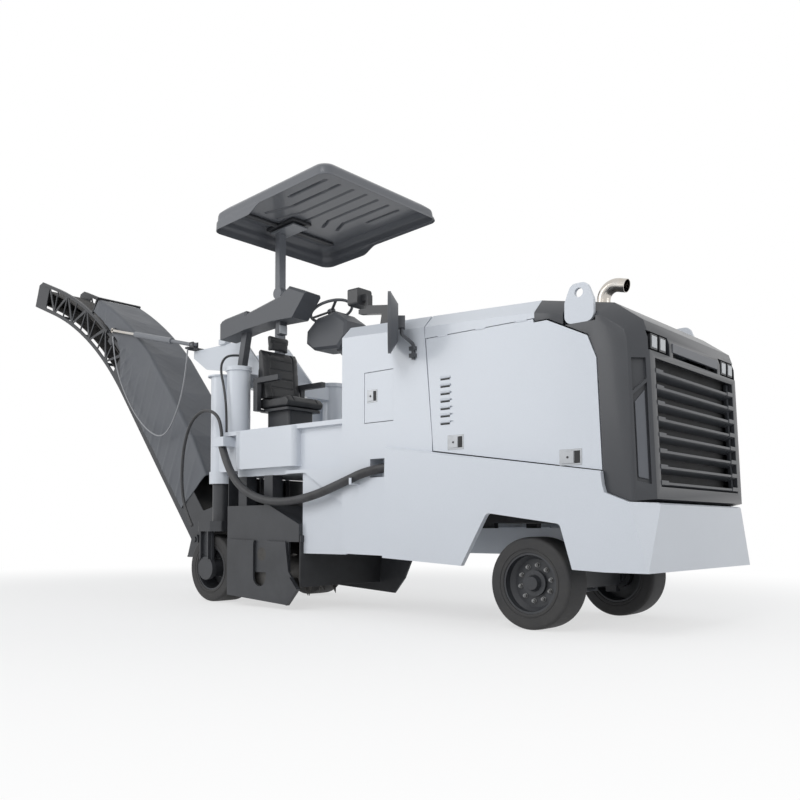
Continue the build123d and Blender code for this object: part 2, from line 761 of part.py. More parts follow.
# ---- platform: deck, box below it and the rounded side covers ----
cover_x = (510.0, 1350.0)
cover_face_y = 885.0
with BuildPart() as platform:
    with Locations(((beam_rear_x + cabinet_rear_x) / 2, 0, deck_z - deck_t / 2)):
        Box(cabinet_rear_x - beam_rear_x, 2 * 850, deck_t)
    with Locations(((rear_axle_x - 90 + beam_rear_x) / 2, 0, deck_z - deck_t / 2)):
        Box(beam_rear_x - rear_axle_x + 90, 2 * (leg_y - guide_r - 10), deck_t)
    with Locations(((beam_front_x + cabinet_rear_x) / 2, 0, (platform_bottom_z + deck_z - deck_t) / 2)):
        Box(cabinet_rear_x - beam_front_x, 2 * 800, deck_z - deck_t - platform_bottom_z)
    with Locations(((1200 + cabinet_rear_x) / 2, 0, platform_bottom_z + 15)):
        Box(cabinet_rear_x - 1200, 2 * 850, 30)
    for side in (RIGHT, LEFT):
        with BuildSketch(Plane.XY.offset(arm_low_z)) as cover_outline:
            with BuildLine():
                Polyline(
                    (cover_x[0], side * 780),
                    (cover_x[0], side * (cover_face_y - 30)),
                    (cover_x[0] + 90, side * cover_face_y),
                    (cover_x[1], side * cover_face_y),
                    (cover_x[1], side * 780),
                    close=True,
                )
            make_face()
        extrude(amount=deck_z - 12 - arm_low_z)
        corner = platform.edges().filter_by(Axis.Z).filter_by(
            lambda e: abs(e.center().X - cover_x[1]) < 1 and abs(abs(e.center().Y) - cover_face_y) < 1
            and e.center().Y * side > 0
        )
        fillet(corner, 50)
        # sloping gusset down to the cabinet
        with BuildSketch(Plane.XZ.offset(-side * rear_plate_y)):
            with BuildLine():
                Polyline(
                    (gusset_x, platform_bottom_z),
                    (cabinet_rear_x, platform_bottom_z - 285),
                    (cabinet_rear_x, platform_bottom_z),
                    close=True,
                )
            make_face()
        extrude(amount=-side * 30)
        with BuildSketch(Plane.XY.offset(deck_z - deck_t - 20)):
            with Locations((cup_x, side * leg_y)):
                Circle(cup_r - 10 + seat_gap)
        extrude(amount=deck_t + 40, mode=Mode.SUBTRACT)
platform.part.label = "platform"
export_step(platform.part, "parts/platform.step")

# ---- drum housing: open-bottomed box with shaft bores and the front-corner notch ----
drum_x = 900.0
cut_r = 415.0                 # to the tool tips
drum_clear_z = 70.0           # tips above the ground when parked
drum_z = drum_clear_z + cut_r
drum_y = (-835.0, 155.0)
shell_r = 290.0
shaft_r = 60.0
wall_t = 20.0
wall_right_y = -865.0         # outer face
wall_left_y = 185.0
housing_x = (400.0, rail_rear_x)
housing_top_z = 930.0
housing_flat_x = 1000.0       # the roof slopes down in front of this
housing_nose_z = 755.0
wall_low_z = 320.0
roof_t = 18.0
scraper_x = housing_x[0] + 16 + run_gap
chute_half = 300.0
chute_t = 12.0
chute_x = (-285.0, housing_x[0])
chute_edges = ((720.0, 1080.0), (400.0, 760.0))     # lower and upper edge, rear end then front end

with BuildPart() as drum_housing:
    for outer, inward in ((wall_right_y, 1), (wall_left_y, -1)):
        with BuildSketch(Plane.XZ.offset(-outer)):
            with BuildLine():
                Polyline(
                    (housing_x[0], wall_low_z),
                    (1270, wall_low_z),
                    (1270, 600),
                    (housing_x[1], 600),
                    (housing_x[1], housing_nose_z),
                    (housing_flat_x, housing_top_z),
                    (housing_x[0], housing_top_z),
                    close=True,
                )
            make_face()
            with Locations((drum_x, drum_z)):
                Circle(shaft_r + pin_play, mode=Mode.SUBTRACT)
        extrude(amount=-inward * wall_t)
    mid_y = (wall_right_y + wall_left_y) / 2
    span_y = wall_left_y - wall_right_y
    with BuildSketch(Plane.XZ.offset(-wall_left_y)):
        with BuildLine():
            Polyline(
                (housing_x[1], 600),
                (housing_x[1], housing_nose_z),
                (housing_flat_x, housing_top_z),
                (housing_x[0], housing_top_z),
                (housing_x[0], chute_edges[1][1] - chute_t),
                (housing_x[0] + 16, chute_edges[1][1] - chute_t),
                (housing_x[0] + 16, housing_top_z - roof_t),
                (housing_flat_x - 4, housing_top_z - roof_t),
                (housing_x[1] - roof_t, housing_nose_z - 12),
                (housing_x[1] - roof_t, 600),
                close=True,
            )
        make_face()
    extrude(amount=span_y)
    # rear wall beside and below the discharge opening
    with BuildSketch(Plane.YZ.offset(housing_x[0])):
        with Locations((mid_y, (wall_low_z + chute_edges[1][1]) / 2)):
            Rectangle(span_y, chute_edges[1][1] - wall_low_z)
        with Locations((0, (chute_edges[1][0] + chute_edges[1][1]) / 2)):
            Rectangle(
                2 * (chute_half - chute_t), chute_edges[1][1] - chute_edges[1][0] - 2 * chute_t,
                mode=Mode.SUBTRACT,
            )
    extrude(amount=16)
    # guide strips for the side plates outside and for the scraper inside
    for outer, outward in ((wall_right_y, -1), (wall_left_y, 1)):
        for x in (540, 1200):
            with Locations((x, outer + outward * (run_gap - seat_gap) / 2, 480)):
                Box(50, run_gap - seat_gap, 260)
        with Locations((scraper_x + 9, outer - outward * (wall_t + (run_gap - seat_gap) / 2), 600)):
            Box(18, run_gap - seat_gap, 520)
    for x in (560, 930):
        for y in (wall_right_y + 110, wall_left_y - 110):
            with Locations((x, y, (housing_top_z + platform_bottom_z) / 2)):
                Box(120, 120, platform_bottom_z - housing_top_z)
drum_housing.part.label = "drum_housing"
export_step(drum_housing.part, "parts/drum_housing.step")

# ---- milling drum: two helical rows of pick holders meeting at the discharge ----
tools_per_side = 22
tool_lead = 34.0              # degrees from one holder to the next
holder_h = 76.0
tip_h = cut_r - shell_r - holder_h

with BuildPart() as pick:
    with BuildSketch(Plane.XY.offset(-12)):
        Rectangle(62, 40)
    extrude(amount=holder_h + 12, taper=9)
    with BuildSketch(Plane.XY.offset(holder_h)):
        RegularPolygon(15, 6)
    extrude(amount=tip_h, taper=13)

with BuildPart() as milling_drum:
    with BuildSketch(Plane.XZ.offset(-drum_y[0])):
        with Locations((drum_x, drum_z)):
            Circle(shell_r)
    extrude(amount=-(drum_y[1] - drum_y[0]))
    with BuildSketch(Plane.XZ.offset(-wall_right_y - 0.5)):
        with Locations((drum_x, drum_z)):
            Circle(shaft_r)
    extrude(amount=-(wall_left_y - wall_right_y - 1))
    seats = []
    tool_pitch = (drum_y[1] - drum_y[0] - 60) / (2 * tools_per_side - 1)
    for i in range(2 * tools_per_side):
        # both helices wind towards the middle so that the spoil runs to the discharge
        turn = i if i < tools_per_side else 2 * tools_per_side - 1 - i + 0.5
        angle = turn * tool_lead
        y = drum_y[0] + 30 + i * tool_pitch
        out = Vector(cos(radians(angle)), 0, sin(radians(angle)))
        seats.append(Plane(
            origin=Vector(drum_x, y, drum_z) + out * shell_r,
            x_dir=(0, 1, 0), z_dir=out,
        ))
    with Locations(*seats):
        add(pick.part)
milling_drum.part.label = "milling_drum"
export_step(milling_drum.part, "parts/milling_drum.step")

# ---- side plates: floating edge protectors with sled noses ----
plate_t = 20.0
with BuildPart() as side_plate_right:
    with BuildSketch(Plane.XZ.offset(-wall_right_y + run_gap)):
        with BuildLine():
            Polyline(
                (430, 96), (1288, 42), (1425, 190), (1290, 340), (1250, 600), (430, 620), close=True,
            )
        make_face()
        with Locations((drum_x, drum_z - 60)):
            SlotCenterToCenter(280, 2 * shaft_r + 60, rotation=90, mode=Mode.SUBTRACT)
    extrude(amount=plate_t)
    with BuildSketch(Plane.XZ.offset(-wall_right_y + run_gap)):
        with BuildLine():
            Polyline((1200, 90), (1288, 42), (1425, 190), (1330, 290), close=True)
        make_face()
    extrude(amount=plate_t + 22)
side_plate_right.part.label = "side_plate_right"
export_step(side_plate_right.part, "parts/side_plate_right.step")

with BuildPart() as side_plate_left:
    with BuildSketch(Plane.XZ.offset(-wall_left_y - run_gap)) as left_outline:
        with BuildLine():
            Polyline(
                (430, 175), (1586, 106), (1711, 250), (1790, 410), (1700, 600), (430, 600), close=True,
            )
        left_face = make_face()
        fillet(left_outline.vertices().sort_by(Axis.Z)[0], 60)
        with Locations((drum_x, drum_z - 60)):
            SlotCenterToCenter(280, 2 * shaft_r + 60, rotation=90, mode=Mode.SUBTRACT)
    extrude(amount=-plate_t)
side_plate_left.part.label = "side_plate_left"
export_step(side_plate_left.part, "parts/side_plate_left.step")

# ---- scraper: sliding rear gate of the housing with the discharge window ----
with BuildPart() as scraper:
    with BuildSketch(Plane.YZ.offset(scraper_x)):
        with Locations((mid_y, (130 + chute_edges[1][1]) / 2)):
            Rectangle(span_y - 2 * (wall_t + run_gap), chute_edges[1][1] - 130)
        with Locations((0, (chute_edges[1][0] + chute_edges[1][1]) / 2)):
            Rectangle(
                2 * (chute_half - chute_t), chute_edges[1][1] - chute_edges[1][0] - 2 * chute_t,
                mode=Mode.SUBTRACT,
            )
    extrude(amount=18)
scraper.part.label = "scraper"
export_step(scraper.part, "parts/scraper.step")

# ---- primary chute: sheet tunnel between the rear wheels, on its beam with the slewing bore ----
slew_x = -890.0
slew_pin_r = 40.0
carrier_z = (335.0, chute_edges[1][0])
carrier_half = 75.0
with BuildPart() as primary_chute:
    for half, inset, mode in ((chute_half, 0, Mode.ADD), (chute_half - chute_t, chute_t, Mode.SUBTRACT)):
        with BuildSketch(Plane.XZ.offset(half)):
            with BuildLine():
                Polyline(
                    (chute_x[1] + inset, chute_edges[1][0] + inset),
                    (chute_x[1] + inset, chute_edges[1][1] - inset),
                    (chute_x[0] - inset, chute_edges[0][1] - inset),
                    (chute_x[0] - inset, chute_edges[0][0] + inset),
                    close=True,
                )
            make_face()
        extrude(amount=-2 * half, mode=mode)
    # beam and turntable seat
    with BuildSketch(Plane.XY.offset(carrier_z[0])):
        with Locations(((slew_x + chute_x[1]) / 2, 0)):
            Rectangle(chute_x[1] - slew_x, 2 * carrier_half)
        with Locations((slew_x, 0)):
            Circle(110)
            Circle(slew_pin_r + pin_play, mode=Mode.SUBTRACT)
    extrude(amount=carrier_z[1] - carrier_z[0])
    # web under the tunnel's slope
    with BuildSketch(Plane.XZ.offset(carrier_half)):
        with BuildLine():
            Polyline(
                (chute_x[1], carrier_z[1] - 10), (chute_x[1], carrier_z[1] + 4),
                (chute_x[0] + 40, chute_edges[0][0] - 14), (chute_x[0] + 40, carrier_z[1] - 10),
                close=True,
            )
        make_face()
    extrude(amount=-2 * carrier_half)
primary_chute.part.label = "primary_chute"
export_step(primary_chute.part, "parts/primary_chute.step")

# ---- gallows: two plates behind the seat, cross tube with the upper slewing bore ----
gallows_y = 300.0
gallows_top_z = 2680.0
upper_pin_r = 20.0
with BuildPart() as gallows:
    for side in (RIGHT, LEFT):
        with BuildSketch(Plane.XZ.offset(-side * (gallows_y - 12))):
            with BuildLine():
                Polyline(
                    (slew_x - 40, gallows_top_z - 80), (slew_x - 40, gallows_top_z),
                    (-60, gallows_top_z), (cup_x + 45, 2250), (cup_x + 45, 2110),
                    (cup_x - 69, 2110), (-160, 2360), (-700, 2450),
                    close=True,
                )
            make_face()
        extrude(amount=-side * 24)
    with Locations((slew_x, 0, gallows_top_z - 40)):
        Box(80, 2 * gallows_y, 80)
        Cylinder(radius=upper_pin_r + pin_play, height=100, mode=Mode.SUBTRACT)
    with Locations((cup_x - 12, 0, 2180)):
        Box(114, 2 * (leg_y - cup_r + 20), 140)
    for side in (RIGHT, LEFT):
        with BuildSketch(Plane.XY.offset(2100)):
            with Locations((cup_x, side * leg_y)):
                Circle(cup_r - 10 + seat_gap)
        extrude(amount=220, mode=Mode.SUBTRACT)
gallows.part.label = "gallows"
export_step(gallows.part, "parts/gallows.step")

# ---- beacon on the right gallows plate ----
with BuildPart() as beacon:
    with Locations((-400, -gallows_y, gallows_top_z + 30)):
        Box(110, 80, 60)
    with BuildSketch(Plane.XY.offset(gallows_top_z + 60)):
        with Locations((-400, -gallows_y)):
            Circle(42)
    extrude(amount=80, taper=4)
beacon.part.label = "beacon"
export_step(beacon.part, "parts/beacon.step")

# ---- boom of the discharge conveyor: straight foot, long bend, short tip ----
foot_x, foot_z = -830.0, 450.0     # lower rear corner of the frame at its foot
rise_deg = 50.5
foot_len = 2468.0
bend_r = 4300.0                    # radius of the lower edge
bend_deg = 29.0
bend_end_x = foot_x - foot_len * cos(radians(rise_deg)) - bend_r * (
    sin(radians(rise_deg)) - sin(radians(rise_deg - bend_deg))
)
tip_len = (bend_end_x + front_x) / cos(radians(rise_deg - bend_deg))   # the tip lies as far back as the bumper forward
frame_half = 310.0
frame_h = 360.0
plate_w = 12.0
bend_len = bend_r * radians(bend_deg)
boom_len = foot_len + bend_len + tip_len


def boom_heading(s):
    """Rise of the boom at distance s along its lower edge, in degrees."""
    return rise_deg - degrees(min(max(s - foot_len, 0), bend_len) / bend_r)


def boom_point(s, h):
    """(x, z) at distance s along the lower edge and h square to it."""
    first = min(s, foot_len)
    x = foot_x - first * cos(radians(rise_deg))
    z = foot_z + first * sin(radians(rise_deg))
    a0, a1 = radians(rise_deg), radians(boom_heading(s))
    x -= bend_r * (sin(a0) - sin(a1))
    z += bend_r * (cos(a1) - cos(a0))
    last = max(s - foot_len - bend_len, 0)
    x += -last * cos(a1) + h * sin(a1)
    z += last * sin(a1) + h * cos(a1)
    return (x, z)


def boom_run(h, start, end):
    """Outline of the boom at height h between two distances: line, arc, line."""
    bend_end = foot_len + bend_len
    if start < foot_len:
        Line(boom_point(start, h), boom_point(min(end, foot_len), h))
    s0 = max(start, foot_len)
    s1 = min(end, bend_end)
    if s1 > s0:
        heading = radians(180 - boom_heading(s0))
        JernArc(
            start=boom_point(s0, h), tangent=(cos(heading), sin(heading)),
            radius=bend_r + h, arc_size=degrees((s1 - s0) / bend_r),
        )
    if end > bend_end:
        Line(boom_point(max(start, bend_end), h), boom_point(end, h))


def boom_strip(low, high, start, end):
    """Closed outline between two heights of the boom."""
    boom_run(low, start, end)
    boom_run(high, start, end)
    Line(boom_point(start, low), boom_point(start, high))
    Line(boom_point(end, low), boom_point(end, high))


pivot_s, pivot_h = 128.0, 80.0
pivot_x, pivot_z = boom_point(pivot_s, pivot_h)
pivot_r = 30.0
truss_start = foot_len + 350
bay = 260.0
lug_s, lug_h = 3120.0, 447.0
chord = 46.0
rail_s = 3250.0
hoop_s = 3700.0

with BuildPart() as conveyor_frame:
    for side in (RIGHT, LEFT):
        with BuildSketch(Plane.XZ.offset(-side * (frame_half - plate_w))):
            with BuildLine():
                boom_run(0, 0, boom_len)
                Line(boom_point(boom_len, 0), boom_point(boom_len, frame_h - 60))
                Line(boom_point(boom_len, frame_h - 60), boom_point(boom_len - 90, frame_h))
                boom_run(frame_h, 300, boom_len - 90)
                Line(boom_point(300, frame_h), boom_point(230, 500))
                Line(boom_point(230, 500), boom_point(40, 500))
                Line(boom_point(40, 500), boom_point(0, 420))
                Line(boom_point(0, 420), boom_point(0, 0))
            make_face()
            # open truss along the bend and the tip
            bays = int((boom_len - 260 - truss_start) / bay)
            for i in range(bays):
                s0 = truss_start + i * bay
                up = (chord, frame_h - chord)
                low, high = up if i % 2 else up[::-1]
                with BuildLine():
                    Polyline(
                        boom_point(s0 + 34, low), boom_point(s0 + bay - 10, low),
                        boom_point(s0 + bay - 10, high), close=True,
                    )
                make_face(mode=Mode.SUBTRACT)
                with BuildLine():
                    Polyline(
                        boom_point(s0 + 10, low + (high - low) * 0.14), boom_point(s0 + 10, high),
                        boom_point(s0 + bay - 38, high), close=True,
                    )
                make_face(mode=Mode.SUBTRACT)
        extrude(amount=-side * plate_w)
        # pivot pins at the foot and the stay's lug
        with BuildSketch(Plane.XZ.offset(-side * (frame_half - 2))):
            with Locations((pivot_x, pivot_z)):
                Circle(pivot_r)
        extrude(amount=-side * 46)
        # tubular rail along the tip
        with BuildSketch(Plane.XZ.offset(-side * frame_half)):
            with BuildLine():
                boom_strip(frame_h - 34, frame_h, rail_s, boom_len - 120)
            make_face()
        extrude(amount=-side * 24)
    with BuildSketch(Plane.XZ.offset(frame_half)):
        with BuildLine():
            Polyline(
                boom_point(lug_s - 50, frame_h - 100), boom_point(lug_s + 50, frame_h - 100),
                boom_point(lug_s + 26, lug_h + 28), boom_point(lug_s - 26, lug_h + 28),
                close=True,
            )
        make_face()
        with Locations(boom_point(lug_s, lug_h)):
            Circle(12.5, mode=Mode.SUBTRACT)
    extrude(amount=14)
    # floor pan between the side plates
    with BuildSketch(Plane.XZ.offset(frame_half - plate_w)):
        with BuildLine():
            boom_strip(0, 8, 0, truss_start)
        make_face()
    extrude(amount=-2 * (frame_half - plate_w))
    # cross tubes
    for s, h in ((truss_start + 200, 24), (truss_start + 900, 24), (truss_start + 1600, 24), (2200, 330), (3300, 330)):
        with BuildSketch(Plane.XZ.offset(frame_half - plate_w)):
            with Locations(boom_point(s, h)):
                Circle(18)
        extrude(amount=-2 * (frame_half - plate_w))
    # square hoop over the end of the tarpaulin
    for side in (RIGHT, LEFT):
        with BuildSketch(Plane.XZ.offset(-side * frame_half)):
            with BuildLine():
                boom_strip(frame_h - 30, frame_h + 210, hoop_s, hoop_s + 22)
            make_face()
        extrude(amount=side * 22)
    with BuildSketch(Plane.XZ.offset(frame_half)):
        with BuildLine():
            boom_strip(frame_h + 188, frame_h + 210, hoop_s, hoop_s + 22)
        make_face()
    extrude(amount=-2 * frame_half)
conveyor_frame.part.label = "conveyor_frame"
export_step(conveyor_frame.part, "parts/conveyor_frame.step")

# ---- belt: one endless strip round the head and tail pulleys ----
belt_half = frame_half - plate_w - 20
belt_low, belt_high, belt_t = 70.0, 250.0, 14.0
with BuildPart() as conveyor_belt:
    for h in (belt_low, belt_high):
        with BuildSketch(Plane.XZ.offset(belt_half)):
            with BuildLine():
                boom_strip(h, h + belt_t, 150, boom_len - 110)
            make_face()
        extrude(amount=-2 * belt_half)
    for s in (150, boom_len - 110):
        with BuildSketch(Plane.XZ.offset(belt_half)):
            with Locations(boom_point(s, (belt_low + belt_high + belt_t) / 2)):
                Circle((belt_high + belt_t - belt_low) / 2)
        extrude(amount=-2 * belt_half)
        with BuildSketch(Plane.XZ.offset(frame_half - plate_w - seat_gap)):
            with Locations(boom_point(s, (belt_low + belt_high + belt_t) / 2)):
                Circle(22)
        extrude(amount=-2 * (frame_half - plate_w - seat_gap))
conveyor_belt.part.label = "conveyor_belt"
export_step(conveyor_belt.part, "parts/conveyor_belt.step")

# ---- cover: tarpaulin over hoops, from the foot to near the tip ----
cover_gap = 0.3
cover_table = (
    # distance, height of the crown
    (560.0, 640.0),
    (1100.0, 720.0),
    (1800.0, 735.0),
    (2450.0, 720.0),
    (3100.0, 640.0),
    (hoop_s - 20, 560.0),
)
with BuildPart() as conveyor_cover:
    with BuildSketch(Plane.XZ.offset(frame_half - cover_gap)):
        with BuildLine():
            boom_run(frame_h + cover_gap, cover_table[0][0], cover_table[-1][0])
            crown = [boom_point(s, h) for s, h in cover_table]
            Polyline(
                boom_point(cover_table[0][0], frame_h + cover_gap), *crown,
                boom_point(cover_table[-1][0], frame_h + cover_gap),
            )
        make_face()
    extrude(amount=-2 * (frame_half - cover_gap))
    top_edges = conveyor_cover.edges().filter_by(Axis.Y).sort_by(Axis.Z)
    fillet(
        [e for e in top_edges if e.center().Z > crown[0][1] + 10 and e.center().Z < crown[-1][1] + 200
         and min(hypot(e.center().X - x, e.center().Z - z) for x, z in crown[1:-1]) < 5],
        radius=60,
    )
    # hollow over the belt: the tarpaulin is a tunnel
    with BuildSketch(Plane.XZ.offset(belt_half)):
        with BuildLine():
            boom_run(frame_h - 5, cover_table[0][0] - 60, cover_table[-1][0] + 60)
            lane = [boom_point(s, h - 30) for s, h in cover_table]
            Polyline(
                boom_point(cover_table[0][0] - 60, frame_h - 5),
                boom_point(cover_table[0][0] - 60, cover_table[0][1] - 60), *lane,
                boom_point(cover_table[-1][0] + 60, cover_table[-1][1] - 60),
                boom_point(cover_table[-1][0] + 60, frame_h - 5),
            )
        make_face()
    extrude(amount=-2 * belt_half, mode=Mode.SUBTRACT)
conveyor_cover.part.label = "conveyor_cover"
export_step(conveyor_cover.part, "parts/conveyor_cover.step")

# ---- slew yoke: turntable fork that carries the boom's foot ----
yoke_z = (carrier_z[1] + run_gap, 425.0)
ear_in = frame_half + 8
ear_t = 24.0
with BuildPart() as slew_yoke:
    with BuildSketch(Plane.XY.offset(yoke_z[0])):
        with Locations((slew_x, 0)):
            Circle(150)
            Rectangle(180, 2 * (ear_in + ear_t))
    extrude(amount=yoke_z[1] - yoke_z[0])
    with BuildSketch(Plane.XY.offset(carrier_z[0])):
        with Locations((slew_x, 0)):
            Circle(slew_pin_r)
    extrude(amount=yoke_z[0] - carrier_z[0])
    for side in (RIGHT, LEFT):
        with BuildSketch(Plane.XZ.offset(-side * ear_in)):
            with BuildLine():
                Polyline(
                    (slew_x - 90, yoke_z[0]), (slew_x + 90, yoke_z[0]),
                    (pivot_x + 62, pivot_z), (pivot_x + 40, pivot_z + 50),
                    (pivot_x - 40, pivot_z + 50), (pivot_x - 62, pivot_z), close=True,
                )
            make_face()
            with Locations((pivot_x, pivot_z)):
                Circle(pivot_r + pin_play, mode=Mode.SUBTRACT)
        extrude(amount=-side * ear_t)
slew_yoke.part.label = "slew_yoke"
export_step(slew_yoke.part, "parts/slew_yoke.step")

# ---- slew head: pivoting crosshead on the gallows with the stay's clevis ----
head_z = (gallows_top_z + run_gap, gallows_top_z + run_gap + 20)
lug_t = 14.0
stay_y = frame_half + lug_t + 21.0
eye_z = head_z[1] + 36
eye_x0 = slew_x
stay_pin_r = 12.0
with BuildPart() as slew_head:
    with BuildSketch(Plane.XY.offset(head_z[0])):
        with Locations((slew_x, 0)):
            Rectangle(100, 2 * (stay_y + 36))
    extrude(amount=head_z[1] - head_z[0])
    with Locations((slew_x, -(stay_y + 36) - 30, sum(head_z) / 2)):
        Box(50, 60, head_z[1] - head_z[0])
    with BuildSketch(Plane.XY.offset(gallows_top_z - 80)):
        with Locations((slew_x, 0)):
            Circle(upper_pin_r)
    extrude(amount=head_z[0] - gallows_top_z + 80)
    for y in (-stay_y - 30, -stay_y + 30):
        with Locations((slew_x, y, head_z[1] + 32)):
            Box(70, 12, 64)
    with BuildSketch(Plane.XZ.offset(stay_y - 40)):
        with Locations((eye_x0, eye_z)):
            Circle(stay_pin_r + pin_play)
    extrude(amount=80, mode=Mode.SUBTRACT)
slew_head.part.label = "slew_head"
export_step(slew_head.part, "parts/slew_head.step")

# ---- stay: barrel at the head, rod with its eye beside the boom's lug ----
lug_x, lug_z = boom_point(lug_s, lug_h)
stay_dx, stay_dz = lug_x - eye_x0, lug_z - eye_z
stay_len = hypot(stay_dx, stay_dz)
stay_rise = degrees(atan2(stay_dz, stay_dx))
stay_plane = Plane(origin=(eye_x0, -stay_y, eye_z), x_dir=(0, 1, 0), z_dir=(stay_dx, 0, stay_dz))
barrel_span = (430.0, stay_len - 520.0)
barrel_r = 34.0
rod_r = 17.0
rod_in = 540.0                # the rod's length inside the barrel at rest
with BuildPart() as stay_barrel:
    with BuildSketch(stay_plane.offset(22)):
        Circle(rod_r + 4)
    extrude(amount=barrel_span[0] - 22)
    with BuildSketch(stay_plane.offset(barrel_span[0])):
        Circle(barrel_r)
    extrude(amount=barrel_span[1] - barrel_span[0])
    with BuildSketch(stay_plane.offset(barrel_span[0] + 60)):
        Circle(rod_r + 1)
    extrude(amount=barrel_span[1] - barrel_span[0], mode=Mode.SUBTRACT)
    with BuildSketch(Plane.XZ.offset(stay_y - 23)):
        with Locations((eye_x0, eye_z)):
            Circle(30)
    extrude(amount=46)
    with BuildSketch(Plane.XZ.offset(stay_y - 36)):
        with Locations((eye_x0, eye_z)):
            Circle(stay_pin_r)
    extrude(amount=72)
stay_barrel.part.label = "stay_barrel"
export_step(stay_barrel.part, "parts/stay_barrel.step")

with BuildPart() as stay_rod:
    with BuildSketch(stay_plane.offset(barrel_span[1] - rod_in)):
        Circle(rod_r)
    extrude(amount=stay_len - 24 - barrel_span[1] + rod_in)
    with BuildSketch(Plane.XZ.offset(stay_y - 16)):
        with Locations((lug_x, lug_z)):
            Circle(28)
    extrude(amount=32)
    with BuildSketch(Plane.XZ.offset(stay_y - 17)):
        with Locations((lug_x, lug_z)):
            Circle(stay_pin_r + 3)
    extrude(amount=34, mode=Mode.SUBTRACT)
stay_rod.part.label = "stay_rod"
export_step(stay_rod.part, "parts/stay_rod.step")
print("stay", round(stay_len, 3), "along", round(stay_dx / stay_len, 6), round(stay_dz / stay_len, 6))
print("lift pivot", round(pivot_x, 3), round(pivot_z, 3), "head eye", round(eye_x0, 3), round(eye_z, 3))

# ---- canopy: ribbed shell roof, fold hinge and post ----
canopy_x = (-10.0, 1620.0)
canopy_y = (-770.0, 850.0)
brim_z = (3690.0, 3790.0)          # rear and front
canopy_t = 14.0
post_x, post_y = 150.0, 0.0
post_w, post_d = 90.0, 80.0
hinge_z = 3190.0
canopy_rise = (brim_z[1] - brim_z[0]) / (canopy_x[1] - canopy_x[0])
canopy_mid_y = (canopy_y[0] + canopy_y[1]) / 2
canopy_span = canopy_y[1] - canopy_y[0]
slope_deg = degrees(atan2(brim_z[1] - brim_z[0], canopy_x[1] - canopy_x[0]))
canopy_len = hypot(canopy_x[1] - canopy_x[0], brim_z[1] - brim_z[0])
canopy_plane = Plane(
    origin=((canopy_x[0] + canopy_x[1]) / 2, canopy_mid_y, (brim_z[0] + brim_z[1]) / 2),
    x_dir=(cos(radians(slope_deg)), 0, sin(radians(slope_deg))),
    z_dir=(-sin(radians(slope_deg)), 0, cos(radians(slope_deg))),
)
skirt_h = 165.0
skirt_in = 2 * skirt_h * sin(radians(7)) / cos(radians(7))
crown_h = 55.0
edge_in = 90.0
rib_count = 9
rib_pitch = 150.0
with BuildPart() as canopy:
    for inset, mode in ((0, Mode.ADD), (canopy_t, Mode.SUBTRACT)):
        with BuildSketch(canopy_plane):
            RectangleRounded(canopy_len - 2 * inset, canopy_span - 2 * inset, 70 - inset)
        extrude(amount=skirt_h, taper=7, mode=mode)
        with BuildSketch(canopy_plane.offset(skirt_h)):
            RectangleRounded(canopy_len - 2 * inset - skirt_in, canopy_span - 2 * inset - skirt_in, 48 - inset)
        extrude(amount=crown_h - inset, taper=52, mode=mode)
    # stiffening ribs pressed into the roof, seen from below
    for i in range(rib_count):
        offset_x = (i - (rib_count - 1) / 2) * rib_pitch
        with BuildSketch(canopy_plane.offset(skirt_h + crown_h - canopy_t - 34)):
            with Locations((offset_x, 0)):
                RectangleRounded(74, canopy_span - 420, 30)
        extrude(amount=40)
    # boss over the post
    with BuildSketch(canopy_plane.offset(skirt_h + crown_h - canopy_t - 70)):
        with Locations((-canopy_len / 2 + 300, -canopy_mid_y)):
            Rectangle(420, 260)
    extrude(amount=70)
canopy.part.label = "canopy"
export_step(canopy.part, "parts/canopy.step")

with BuildPart() as canopy_post:
    with Locations((post_x, post_y, deck_z + 8)):
        Box(220, 240, 16)
    with BuildSketch(Plane.XY.offset(deck_z + 16)):
        with Locations((post_x, post_y)):
            RectangleRounded(post_d, post_w, 12)
    extrude(amount=hinge_z - deck_z - 16)
    with BuildSketch(Plane.XZ.offset(-post_y + post_w / 2 + 10)):
        with Locations((post_x + 10, hinge_z)):
            Circle(62)
    extrude(amount=-(post_w + 20))
    with BuildSketch(Plane.XY.offset(hinge_z)):
        with Locations((post_x, post_y)):
            RectangleRounded(post_d, post_w, 12)
    extrude(amount=brim_z[0] + skirt_h + crown_h - canopy_t - 72 - hinge_z)
    with BuildSketch(canopy_plane.offset(skirt_h + crown_h - canopy_t - 70 - seat_gap)):
        with Locations((-canopy_len / 2 + 300, -canopy_mid_y)):
            Rectangle(360, 200)
    extrude(amount=-14)
canopy_post.part.label = "canopy_post"
export_step(canopy_post.part, "parts/canopy_post.step")

